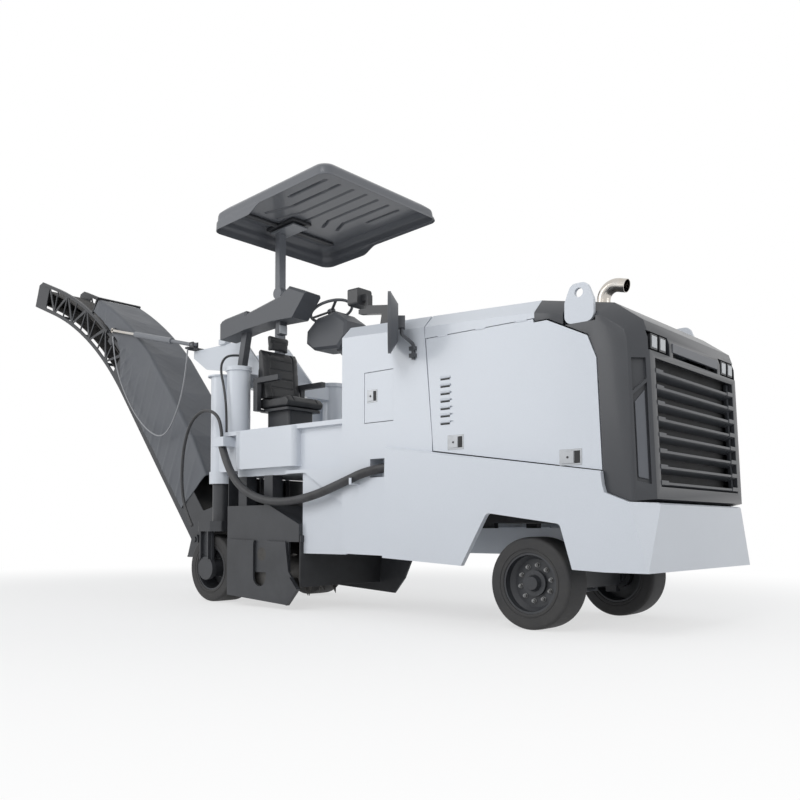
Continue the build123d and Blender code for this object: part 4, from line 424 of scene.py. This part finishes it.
pocket_rear, pocket_front, pocket_deep, cutter_deep = -0.052, 0.044, 0.026, 0.060
upper_pocket = ((pocket_rear, 1.600), (pocket_front, 1.680), (pocket_front, 1.815), (pocket_rear, 1.815))
lower_pocket = ((pocket_rear, 1.020), (pocket_front, 1.000), (pocket_front, 1.655), (pocket_rear, 1.575))
cutters = []
for side in (-1, 1):
    for outline in (upper_pocket, lower_pocket):
        cutters.append(on_corner(slab("pocket_cut", outline, "Y", -pocket_deep, cutter_deep), side))
fit(softened("front_mask", "mask_shell", 0.006, cutters), mask_gloss, "chassis")
fit(softened("grille", "grille_slats", 0.003), slat_gloss, "chassis")
lamp_middle_y, lamp_pitch, lamp_z, bezel_half, lens_half = 0.6125, 0.130, 1.9315, 0.050, 0.038
for side, hand in ((-1, "right"), (1, "left")):
    panel = slab("pocket_panel_" + hand, ((-0.036, 1.045), (0.034, 1.030), (0.034, 1.610), (-0.036, 1.530)),
                 "Y", -0.0275, 0.014, 0.005)
    fit(on_corner(panel, side), panel_gloss, "chassis")
    for k in (0, 1):
        y = side * lamp_middle_y + (k - 0.5) * lamp_pitch
        tag = hand + "_" + str(k)
        for part, half, front, depth, edge, made in (
            ("bezel_", bezel_half, 4.584, 0.012, 0.004, lamp_body),
            ("lens_", lens_half, 4.594, 0.005, 0.002, lens_glass),
        ):
            outline = rectangle(y - half, y + half, lamp_z - half, lamp_z + half)
            fit(slab("front_lamp_" + part + tag, outline, "X", front, depth, edge),
                made, "chassis")
fit(slab("sign_plate", rectangle(-0.405, 0.405, 1.902, 1.966), "X", 4.580, 0.026, 0.004),
    panel_gloss, "chassis")
fit(slab("radiator_screen", rectangle(-0.700, 0.700, 0.950, 1.862), "X", 4.534, 0.006, 0.001),
    screen_black, "chassis")
dress(lamp_body, "front_lamps", "work_lamp")

# ---- latches and louvres ----
# Pressed paddle latches let into the doors, each a zinc dish with a paddle and a lock, and a
# column of hooded louvres in each engine door. The slots under the hoods and the finger hollows
# are near-black patches of painted shade, not cut openings.
dish_zinc = coat("dish_zinc", (0.44, 0.455, 0.475), 0.34, amount=0.2, patch=20, grain=300, bump=0.05,
                 metallic=0.6)
louvre_count, louvre_low_z, louvre_pitch = 7, 1.510, 0.0565
# Painted shade: a near-black for the shade in the louvre slots and the latches' finger hollows.
painted_recess_shade = coat("painted_recess_shade", (0.012, 0.012, 0.013), 0.6, amount=0.1, patch=12, grain=200, bump=0.05)


def latch(name, x, z, wide, high, side, body):
    """Dish, paddle, finger hollow painted as a black patch of shade, and lock of one latch, on a side panel.
    """
    face = side * mask_side
    for part, rear, front, half, start, depth, edge, made, slot_name in (
        ("_dish", -0.50, 0.50, 0.50, 0.0, 0.003, 0.0015, dish_zinc, "stainless"),
        # The finger hollow: a near-black patch of painted shade on the dish.
        ("_hollow_painted_shade", 0.17, 0.42, 0.38, 0.0025, 0.0015, 0.0, painted_recess_shade, "charcoal_shell"),
        ("_paddle", -0.40, 0.15, 0.38, 0.002, 0.006, 0.002, dish_zinc, "stainless"),
    ):
        outline = rectangle(x + wide * rear, x + wide * front, z - high * half, z + high * half)
        piece = slab(name + part, outline, "Y", face + side * start, side * depth, edge)
        fit(piece, made, body)
    bpy.ops.mesh.primitive_cylinder_add(vertices=20, radius=0.008, depth=0.005, rotation=(pi / 2, 0, 0),
                                        location=(x - wide * 0.12, face + side * 0.0090, z))
    lock = bpy.context.object
    lock.name = name + "_lock"
    bpy.ops.object.transform_apply(location=True, rotation=True, scale=True)
    round_edges(lock, 0.001)
    fit(lock, lamp_body, body)


for side, hand in ((-1, "right"), (1, "left")):
    door = "engine_door_" + hand + "_body"
    latch("rear_latch_" + hand, 3.120, 1.360, 0.150, 0.110, side, door)
    latch("front_latch_" + hand, 4.085, 1.195, 0.170, 0.110, side, door)
    root, lip = side * (mask_side - 0.001), side * (mask_side + 0.009)
    for i in range(louvre_count):
        z = louvre_low_z + i * louvre_pitch
        tag = hand + "_" + str(i)
        # Under each hood, a black sheet on the door: painted shade of the louvre's opening.
        fit(slab("louvre_painted_shade_" + tag, rectangle(2.978, 3.066, z - 0.012, z + 0.016), "Y",
                 side * (mask_side - 0.0005), side * 0.0015), painted_recess_shade, door)
        fit(slab("louvre_hood_" + tag, ((root, z), (lip, z + 0.006), (lip, z + 0.009), (root, z + 0.022)),
                 "X", 2.974, 0.096, 0.0012), white_paint, door)
latch("service_latch", 2.274, 1.790, 0.110, 0.105, -1, "service_door_body")

# ---- black and grey steelwork ----
# Powder-coated running gear, drum housing, side plates, chute and conveyor frame.
black_paint = coat("black_paint", (0.030, 0.032, 0.037), 0.40, amount=0.30, dirt=(0.085, 0.088, 0.095),
                   patch=3.0, grain=130, bump=0.08, low_dirt=0.30)
grey_paint = coat("grey_paint", (0.19, 0.20, 0.22), 0.38, amount=0.12, patch=3.0, grain=130, bump=0.05)
dress(black_paint, "front_axle", "knuckle_right", "knuckle_left", "leg_right", "leg_left", "drum_housing",
      "side_plate_right", "side_plate_left", "scraper", "primary_chute", "conveyor_frame", "slew_yoke",
      "slew_head", "rim_front_right", "rim_front_left", "rim_rear_right", "rim_rear_left", "seat_base")
dress(grey_paint, "tie_rod", "stay_barrel", "canopy_post")

# ---- front apron and bulkhead of the drum housing ----
# A rubber apron keeps the chippings in before the drum, under a bolted steel strip, and a sheet
# steel bulkhead with three pipes closes the space between the housing and the platform.
apron_rubber = coat("apron_rubber", (0.020, 0.021, 0.023), 0.6, amount=0.35, dirt=(0.07, 0.072, 0.078),
                    patch=4, grain=150, bump=0.25, low_dirt=0.2)
fit(slab("drum_apron", rectangle(-0.860, 0.180, 0.205, 0.660), "X", 1.400, 0.014, 0.003),
    apron_rubber, "chassis")
fit(slab("apron_strip", rectangle(-0.862, 0.182, 0.600, 0.655), "X", 1.4135, 0.008, 0.002),
    black_paint, "chassis")
fit(slab("bulkhead", rectangle(-0.860, 0.185, 0.925, 1.206), "X", 0.402, 0.008, 0.002),
    black_paint, "chassis")
for i, y in enumerate((-0.480, -0.400, -0.140)):
    bpy.ops.mesh.primitive_cylinder_add(vertices=24, radius=0.022, depth=0.290, location=(0.430, y, 1.066))
    pipe = bpy.context.object
    pipe.name = "bulkhead_pipe_" + str(i)
    bpy.ops.object.transform_apply(location=True, rotation=True, scale=True)
    round_edges(pipe, 0.002)
    bpy.ops.object.shade_smooth_by_angle(angle=radians(38))
    fit(pipe, black_paint, "chassis")

# ---- solid rubber tyres ----
# Solid rubber pressed onto steel rims: smooth tread, round shoulders, a moulded bead ring and
# a shallow groove on each sidewall. Each is spun from its section round the axle.
tyre_rubber = coat("tyre_rubber", (0.024, 0.024, 0.026), 0.62, amount=0.45, dirt=(0.085, 0.082, 0.078),
                   patch=4.0, grain=180, bump=0.22, low_dirt=0.20)
tyre_r, rim_r = 0.330, 0.2152


def spun(name, section, centre, steps=112):
    """Solid of revolution about Y: (distance from the centre plane, radius) pairs, closed on themselves."""
    bpy.ops.object.select_all(action="DESELECT")
    bpy.ops.mesh.primitive_circle_add(vertices=len(section), radius=1, location=(0, 0, 0))
    made = bpy.context.object
    made.name = name
    for vertex, (out, radius) in zip(made.data.vertices, section):
        vertex.co = (centre[0], centre[1] + out, centre[2] + radius)
    bpy.ops.object.mode_set(mode="EDIT")
    bpy.ops.mesh.select_all(action="SELECT")
    bpy.ops.mesh.spin(steps=steps, angle=2 * pi, center=centre, axis=(0, 1, 0))
    bpy.ops.mesh.select_all(action="SELECT")
    bpy.ops.mesh.remove_doubles(threshold=0.00002)
    bpy.ops.mesh.normals_make_consistent(inside=False)
    bpy.ops.object.mode_set(mode="OBJECT")
    bpy.ops.object.shade_smooth_by_angle(angle=radians(38))
    return made


def tyre_section(half):
    """Half section mirrored: bead, groove, round shoulder, barely crowned tread."""
    side = [(half - 0.006, rim_r), (half - 0.001, rim_r + 0.004), (half, rim_r + 0.012),
            (half, rim_r + 0.020), (half - 0.004, rim_r + 0.023), (half - 0.004, rim_r + 0.029),
            (half, rim_r + 0.032), (half, tyre_r - 0.030)]
    for step in range(1, 7):
        turned = radians(15 * step)
        side.append((half - 0.026 * (1 - cos(turned)), tyre_r - 0.0285 + 0.026 * sin(turned)))
    side.append((half * 0.5, tyre_r - 0.0008))
    return side + [(-out, radius) for out, radius in reversed(side)]


for corner, body in (("front_right", "wheel_front_right"), ("front_left", "wheel_front_left"),
                     ("rear_right", "wheel_rear_right"), ("rear_left", "wheel_rear_left")):
    low, high = (Vector(v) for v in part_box("tyre_" + corner))
    middle = (low + high) / 2
    tyre = spun("solid_tyre_" + corner, tyre_section((high.y - low.y) / 2), tuple(middle))
    tyre.data.materials.append(tyre_rubber)
    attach(tyre, body)
    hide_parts("tyre_" + corner)

# ---- wheel nuts ----
# Ten plated nuts on washers clamp each front rim to its hub, round a turned cap with a raised centre.
worn_zinc = coat("worn_zinc", (0.30, 0.305, 0.31), 0.38, amount=0.45, dirt=(0.10, 0.085, 0.07), patch=20,
                 grain=300, bump=0.06, metallic=0.8)


def nut_ring(name, centre, outward, circle_r, count, across, height, made, body):
    """Hexagonal nuts on round washers, in a ring about a wheel's axle, as one mesh."""
    bpy.ops.object.select_all(action="DESELECT")
    bits = []
    for i in range(count):
        turned = 2 * pi * i / count + 0.2
        place = (centre[0] + circle_r * cos(turned), centre[1], centre[2] + circle_r * sin(turned))
        for corners, radius, depth, lift in ((6, across / 2, height, height / 2 + 0.003),
                                             (20, across * 0.62, 0.003, 0.0015)):
            bpy.ops.mesh.primitive_cylinder_add(
                vertices=corners, radius=radius, depth=depth, rotation=(pi / 2, 0, 0),
                location=(place[0], place[1] + outward * lift, place[2]))
            bits.append(bpy.context.object)
        stud = (place[0], place[1] + outward * (height + 0.007), place[2])
        bpy.ops.mesh.primitive_cylinder_add(vertices=12, radius=across * 0.26, depth=0.010, location=stud,
                                            rotation=(pi / 2, 0, 0))
        bits.append(bpy.context.object)
    for bit in bits:
        bit.select_set(True)
    bpy.context.view_layer.objects.active = bits[0]
    bpy.ops.object.join()
    ring = bpy.context.object
    ring.name = name
    bpy.ops.object.transform_apply(location=True, rotation=True, scale=True)
    edge = ring.modifiers.new("edge", "BEVEL")
    edge.width = across * 0.045
    edge.segments = 1
    edge.limit_method = "ANGLE"
    bpy.ops.object.modifier_apply(modifier=edge.name)
    ring.data.materials.append(made)
    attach(ring, body)
    return ring


for corner, side in (("front_right", -1), ("front_left", 1)):
    low, high = (Vector(v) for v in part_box("rim_" + corner))
    middle = (low + high) / 2
    face = (low.y if side < 0 else high.y) - side * (0.095 - 0.008)
    nut_ring("wheel_nuts_" + corner, (middle.x, face, middle.z), side, 0.128, 10, 0.030, 0.018, worn_zinc,
             "wheel_" + corner)

# ---- milling drum ----
# Worn steel shell with welded holders and pointed picks, on a shaft across the housing.
# It is bare metal, dark with dust and oil.
cut_steel = coat("cut_steel", (0.10, 0.098, 0.095), 0.50, amount=0.55, dirt=(0.045, 0.04, 0.036), patch=9.0,
                 grain=220, bump=0.25, metallic=0.85)
dress(cut_steel, "milling_drum")

# ---- engine and radiator ----
# Dark castings with a radiator before them, standing in the frame under the hood. They are
# seen only through the openings.
engine_cast = coat("engine_cast", (0.016, 0.016, 0.018), 0.62, amount=0.3, patch=6, grain=80, bump=0.3)
dress(engine_cast, "engine_block")

# ---- conveyor belt ----
# Matt black rubber belt, endless round a head and a tail pulley in the lattice frame. It is
# dusty from the chippings it carries.
belt_rubber = coat("belt_rubber", (0.022, 0.022, 0.023), 0.75, amount=0.5, dirt=(0.12, 0.11, 0.10), patch=5,
                   grain=140, bump=0.2)
dress(belt_rubber, "conveyor_belt")

# ---- tarpaulin over the conveyor ----
# One sheet of coated dark grey fabric, laid over hoops and pulled down both sides of the
# lattice frame. It creases where the boom bends, hangs slack between the hoops, and lies flat
# where the stay passes it on the right.
tarpaulin = coat("tarpaulin", (0.098, 0.106, 0.122), 0.46, amount=0.35, dirt=(0.17, 0.175, 0.18), patch=3,
                 grain=420, bump=0.20)
foot = Vector((-0.830, 0.450))
foot_len, bend_r, rise, bend = 2.468, 4.300, radians(50.5), radians(29)


def eased(value):
    value = min(max(value, 0.0), 1.0)
    return value * value * (3 - 2 * value)


def boom_point(along, height):
    """(x, z) on the boom, from the distance along its lower edge and the height square to it."""
    straight = min(along, foot_len)
    turned = rise - min(max(along - foot_len, 0), bend_r * bend) / bend_r
    beyond = max(along - foot_len - bend_r * bend, 0)
    x = (foot.x - straight * cos(rise) - bend_r * (sin(rise) - sin(turned)) - beyond * cos(turned)
         + height * sin(turned))
    z = (foot.y + straight * sin(rise) + bend_r * (cos(turned) - cos(rise)) + beyond * sin(turned)
         + height * cos(turned))
    return x, z


def crown_at(along):
    """Height of the hoops' crown over the boom's lower edge."""
    table = ((0.56, 0.640), (1.10, 0.720), (1.80, 0.735), (2.45, 0.720), (3.10, 0.640), (3.68, 0.560))
    for (a, low), (b, high) in zip(table, table[1:]):
        if along <= b:
            return low + (high - low) * (along - a) / (b - a)
    return table[-1][1]


def hem_at(along):
    """Height of the sheet's lower edge: low on the foot, lifted clear of the open lattice at the bend."""
    return 0.075 + 0.315 * eased((along - 2.55) / 0.45)


def slack(along, up, side):
    """How far the cloth stands off its support, from long folds and creases."""
    long_fold = 0.5 + 0.5 * sin(9.0 * along + 5.0 * up + 2.2 * side)
    crease = max(0.0, sin(31.0 * along - 17.0 * up + 1.3 * side)) ** 3
    bend_crease = max(0.0, sin(46.0 * along + 9.0 * up)) ** 2 * max(0.0, 1 - abs(along - 2.85) / 0.75)
    return 0.010 * long_fold + 0.009 * crease + 0.010 * bend_crease


bpy.ops.mesh.primitive_grid_add(x_subdivisions=220, y_subdivisions=96, size=2)
cloth = bpy.context.object
cloth.name = "conveyor_tarpaulin"
hoops = (0.56, 1.10, 1.80, 2.45, 3.10, 3.68)
cover_from, cover_to, half = 0.575, 3.665, 0.3055
side_from, crown_to = 0.42, 0.34               # shares of the sheet's half width
press_low, press_along, press_reach = 0.40, 2.80, 0.55
for vertex in cloth.data.vertices:
    along = cover_from + (vertex.co.x + 1) / 2 * (cover_to - cover_from)
    across = vertex.co.y
    side = 1 if across > 0 else -1
    reach = abs(across)
    top, hem = crown_at(along) - 0.004, hem_at(along)
    gap = min(abs(along - hoop) for hoop in hoops)
    if reach > side_from:
        share = (reach - side_from) / (1 - side_from)
        up = (top - 0.035) + (hem - top + 0.035) * share
        out = half + 0.0065 + 0.0035 * share + slack(along, up, side) * (0.35 + 0.65 * share)
    elif reach > crown_to:
        turned = (reach - crown_to) / (side_from - crown_to) * pi / 2
        out = half - 0.030 + 0.037 * sin(turned)
        up = top - 0.035 + 0.035 * cos(turned)
    else:
        out = (half - 0.030) * reach / crown_to
        droop = min(gap, 0.32) / 0.32
        up = top - 0.016 * droop * (1 - (reach / crown_to) ** 2) + 0.2 * slack(along, reach, 0)
    if side < 0:
        pressed = eased((up - press_low) / 0.10) * eased((press_reach - abs(along - press_along)) / 0.15)
        out += (min(out, half + 0.0015) - out) * pressed
    x, z = boom_point(along, up)
    vertex.co = (x, side * out, z)
bpy.ops.object.mode_set(mode="EDIT")
bpy.ops.mesh.select_all(action="SELECT")
bpy.ops.mesh.normals_make_consistent(inside=False)
bpy.ops.object.mode_set(mode="OBJECT")
bpy.ops.object.shade_smooth()
thick = cloth.modifiers.new("thickness", "SOLIDIFY")
thick.thickness = 0.0016
thick.offset = -1
bpy.ops.object.modifier_apply(modifier=thick.name)
cloth.data.materials.append(tarpaulin)
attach(cloth, "boom")
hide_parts("conveyor_cover")

# ---- canopy ----
# One moulded roof sheet: a recessed panel with seven pressed ribs, a raised border, a sloping
# crown and a brim that is deep at the rear and stepped up forwards. It is screwed to a frame.
canopy_shell = coat("canopy_shell", (0.125, 0.132, 0.147), 0.42, amount=0.10, patch=1.5, grain=200,
                    bump=0.06, gloss=0.2)
roof_long, roof_wide, roof_tilt = 0.8166, 0.810, atan2(0.100, 1.630)
roof_frame = Matrix.Translation((0.805, 0.040, 3.740)) @ Matrix.Rotation(-roof_tilt, 4, "Y")
panel_z, border_z, crown_z, brim_z = 0.188, 0.217, 0.168, 0.092
rib_depth, rib_half = 0.024, 0.015
ribs = (
    ((0.52, -0.51), (0.02, -0.51)),
    ((0.53, -0.34), (-0.12, -0.34), (-0.42, -0.42)),
    ((0.54, -0.17), (-0.16, -0.17), (-0.46, -0.23)),
    ((0.55, 0.00), (-0.46, 0.00)),
    ((0.54, 0.17), (-0.14, 0.17), (-0.30, 0.25)),
    ((0.53, 0.34), (-0.10, 0.34), (-0.26, 0.42)),
    ((0.52, 0.51), (0.10, 0.51)),
)


def rib_lift(u, v):
    """How far the panel is pressed up at a point."""
    nearest = 1.0
    for rib in ribs:
        for (u0, v0), (u1, v1) in zip(rib, rib[1:]):
            run = Vector((u1 - u0, v1 - v0))
            share = min(max(((u - u0) * run.x + (v - v0) * run.y) / run.length_squared, 0), 1)
            nearest = min(nearest, hypot(u - u0 - run.x * share, v - v0 - run.y * share))
    return rib_depth * eased((rib_half + 0.007 - nearest) / 0.012)


def brim_low(u):
    """Height of the brim's lower edge."""
    return 0.068 * eased((u + 0.26) / 0.20)


profile = ((0.0, 0.112, panel_z), (0.870, 0.112, panel_z), (0.885, 0.098, border_z), (0.905, 0.080, border_z),
           (0.930, 0.024, crown_z), (0.938, 0.018, crown_z - 0.012), (0.962, 0.013, brim_z),
           (0.970, 0.005, brim_z - 0.010), (1.0, 0.0, 0.0))
bpy.ops.object.select_all(action="DESELECT")
bpy.ops.mesh.primitive_grid_add(x_subdivisions=206, y_subdivisions=206, size=2)
roof = bpy.context.object
roof.name = "canopy_roof"
for vertex in roof.data.vertices:
    a, b = vertex.co.x, vertex.co.y
    ring = max(abs(a), abs(b), 1e-6)
    for (m0, in0, z0), (m1, in1, z1) in zip(profile, profile[1:]):
        if ring <= m1 + 1e-9:
            part = (ring - m0) / (m1 - m0)
            inset, height = in0 + (in1 - in0) * part, z0 + (z1 - z0) * part
            break
    panel_share = min(ring / 0.870, 1.0)
    half_u, half_v = (roof_long - inset) * panel_share, (roof_wide - inset) * panel_share
    corner = min(0.11 * panel_share, half_u, half_v)
    u, v = half_u * a / ring, half_v * b / ring
    over_u, over_v = abs(u) - (half_u - corner), abs(v) - (half_v - corner)
    if over_u > 0 and over_v > 0:
        reach = max(hypot(over_u, over_v), 1e-9)
        u = (half_u - corner + over_u * corner / reach) * (1 if u > 0 else -1)
        v = (half_v - corner + over_v * corner / reach) * (1 if v > 0 else -1)
    if ring < 0.870:
        height += rib_lift(u, v)
    if ring > 0.962:
        low_edge = brim_low(u)
        height = max(height, 0.0) * (brim_z - low_edge) / brim_z + low_edge
    vertex.co = roof_frame @ Vector((u, v, height))
bpy.ops.object.mode_set(mode="EDIT")
bpy.ops.mesh.select_all(action="SELECT")
bpy.ops.mesh.normals_make_consistent(inside=False)
bpy.ops.object.mode_set(mode="OBJECT")
sheet_wall = roof.modifiers.new("wall", "SOLIDIFY")
sheet_wall.thickness = 0.005
sheet_wall.offset = -1
bpy.ops.object.modifier_apply(modifier=sheet_wall.name)
bpy.ops.object.shade_smooth_by_angle(angle=radians(35))
fit(roof, canopy_shell, "chassis")
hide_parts("canopy")
for name, outline, low, high in (
    ("canopy_bracket", rectangle(-0.727, -0.307, -0.170, 0.090), 0.151, panel_z - 0.006),
    ("canopy_cross_bar", rectangle(-0.600, -0.540, -0.640, 0.640), 0.155, panel_z - 0.006),
):
    bar = slab(name, outline, "Z", low, high - low, 0.006)
    bar.data.transform(roof_frame)
    fit(bar, black_paint, "chassis")

# ---- operator's seat ----
# Foam pads in sewn black vinyl on a steel base: a seat pad and a back pad with raised side
# bolsters, both with sewn channels, and a head pad. They swell against their seams.
seat_vinyl = coat("seat_vinyl", (0.020, 0.021, 0.023), 0.42, amount=0.12, patch=8, grain=320, bump=0.2)
seat_middle = -0.300


def pad(name, outline, half_width, voxel, cap, seams):
    """A padded cushion: its outline in (x, z) drawn across the seat, swollen, then sewn in."""
    piece = slab(name, outline, "Y", seat_middle - half_width, 2 * half_width)
    remesh = piece.modifiers.new("cover", "REMESH")
    remesh.mode = "VOXEL"
    remesh.voxel_size = voxel
    bpy.ops.object.modifier_apply(modifier=remesh.name)
    relax = piece.modifiers.new("relax", "SMOOTH")
    relax.factor = 0.5
    relax.iterations = 10
    bpy.ops.object.modifier_apply(modifier=relax.name)
    before = [vertex.co.copy() for vertex in piece.data.vertices]
    swell = piece.modifiers.new("swell", "CLOTH")
    swell.settings.use_pressure = True
    swell.settings.uniform_pressure_force = 4
    swell.settings.effector_weights.gravity = 0
    swell.point_cache.frame_start = 1
    swell.point_cache.frame_end = 20
    for moment in range(1, 21):
        scene.frame_set(moment)
    bpy.ops.object.modifier_apply(modifier=swell.name)
    scene.frame_set(1)
    for vertex, old in zip(piece.data.vertices, before):
        shift = vertex.co - old
        if shift.length > cap:
            vertex.co = old + shift.normalized() * cap
    finer = piece.modifiers.new("finer", "SUBSURF")
    finer.levels = finer.render_levels = 1
    bpy.ops.object.modifier_apply(modifier=finer.name)
    normals = [vertex.normal.copy() for vertex in piece.data.vertices]
    for vertex, normal in zip(piece.data.vertices, normals):
        depth = 0.0
        for axis, place, facing, half in seams:
            front = normal.z if facing == "Z" else normal.x
            if front > 0.35 and abs(vertex.co.y - seat_middle) < half:
                gap = abs(vertex.co[axis] - place)
                depth = max(depth, 0.007 * max(0.0, 1 - (gap / 0.012) ** 2))
        vertex.co = vertex.co - normal * depth
    bpy.ops.object.shade_smooth()
    fit(piece, seat_vinyl, "chassis")
    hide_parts("seat_cushion")
    return piece


pad("seat_pad", ((0.452, 1.893), (0.868, 1.893), (0.888, 1.938), (0.846, 1.984), (0.600, 1.970),
                 (0.452, 1.985)),
    0.240, 0.009, 0.010,
    [(0, x, "Z", 0.150) for x in (0.640, 0.715, 0.790)]
    + [(1, seat_middle + y, "Z", 0.24) for y in (-0.150, 0.150)])
pad("back_pad", ((0.424, 1.985), (0.580, 1.978), (0.525, 2.130), (0.499, 2.435), (0.468, 2.485),
                 (0.436, 2.468), (0.428, 2.090)),
    0.240, 0.009, 0.010,
    [(2, z, "X", 0.150) for z in (2.110, 2.200, 2.290, 2.380)]
    + [(1, seat_middle + y, "X", 0.24) for y in (-0.150, 0.150)])
pad("head_pad", ((0.438, 2.487), (0.482, 2.487), (0.492, 2.615), (0.468, 2.638), (0.434, 2.630)),
    0.120, 0.008, 0.008, [(2, 2.570, "X", 0.11)])

# ---- operator's console, mirrors, beacon and exhaust ----
# Moulded consoles, mirror backs, an orange lens on a pale beacon block and the stainless
# exhaust, blued by heat.
console_plastic = coat("console_plastic", (0.085, 0.09, 0.10), 0.46, amount=0.10, patch=6, grain=420,
                       bump=0.16)
amber_lens = coat("amber_lens", (0.80, 0.20, 0.02), 0.18, amount=0.05, patch=8, grain=60, bump=0.05,
                  gloss=0.6)
stainless = coat("stainless", (0.62, 0.60, 0.57), 0.16, amount=0.35, dirt=(0.42, 0.30, 0.17), patch=9,
                 grain=200, bump=0.02, metallic=1.0)
dress(console_plastic, "console", "steering_console", "mirrors")
dress(stainless, "exhaust", "stay_rod")
fit(slab("work_lamp_lens", rectangle(-0.478, -0.322, 2.730, 2.850), "X", 1.622, 0.005, 0.002),
    lens_glass, "chassis")
fit(slab("console_lamp_lens", rectangle(-0.540, -0.444, 2.594, 2.672), "X", 0.757, 0.006, 0.003),
    lens_glass, "chassis")
beacon_low, beacon_high = (Vector(v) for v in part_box("beacon"))
middle = (beacon_low + beacon_high) / 2
block = slab("beacon_block", rectangle(beacon_low.x, beacon_high.x, beacon_low.y, beacon_high.y),
             "Z", beacon_low.z, 0.060, 0.008)
fit(block, white_paint, "chassis")
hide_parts("beacon")
bpy.ops.object.select_all(action="DESELECT")
bpy.ops.mesh.primitive_cone_add(vertices=40, radius1=0.042, radius2=0.037, depth=0.079,
                                location=(middle.x, middle.y, beacon_high.z - 0.0400))
lens = bpy.context.object
lens.name = "beacon_lens"
bpy.ops.object.transform_apply(location=True, rotation=True, scale=True)
round_edges(lens, 0.010, 4)
bpy.ops.object.shade_smooth_by_angle(angle=radians(35))
fit(lens, amber_lens, "chassis")
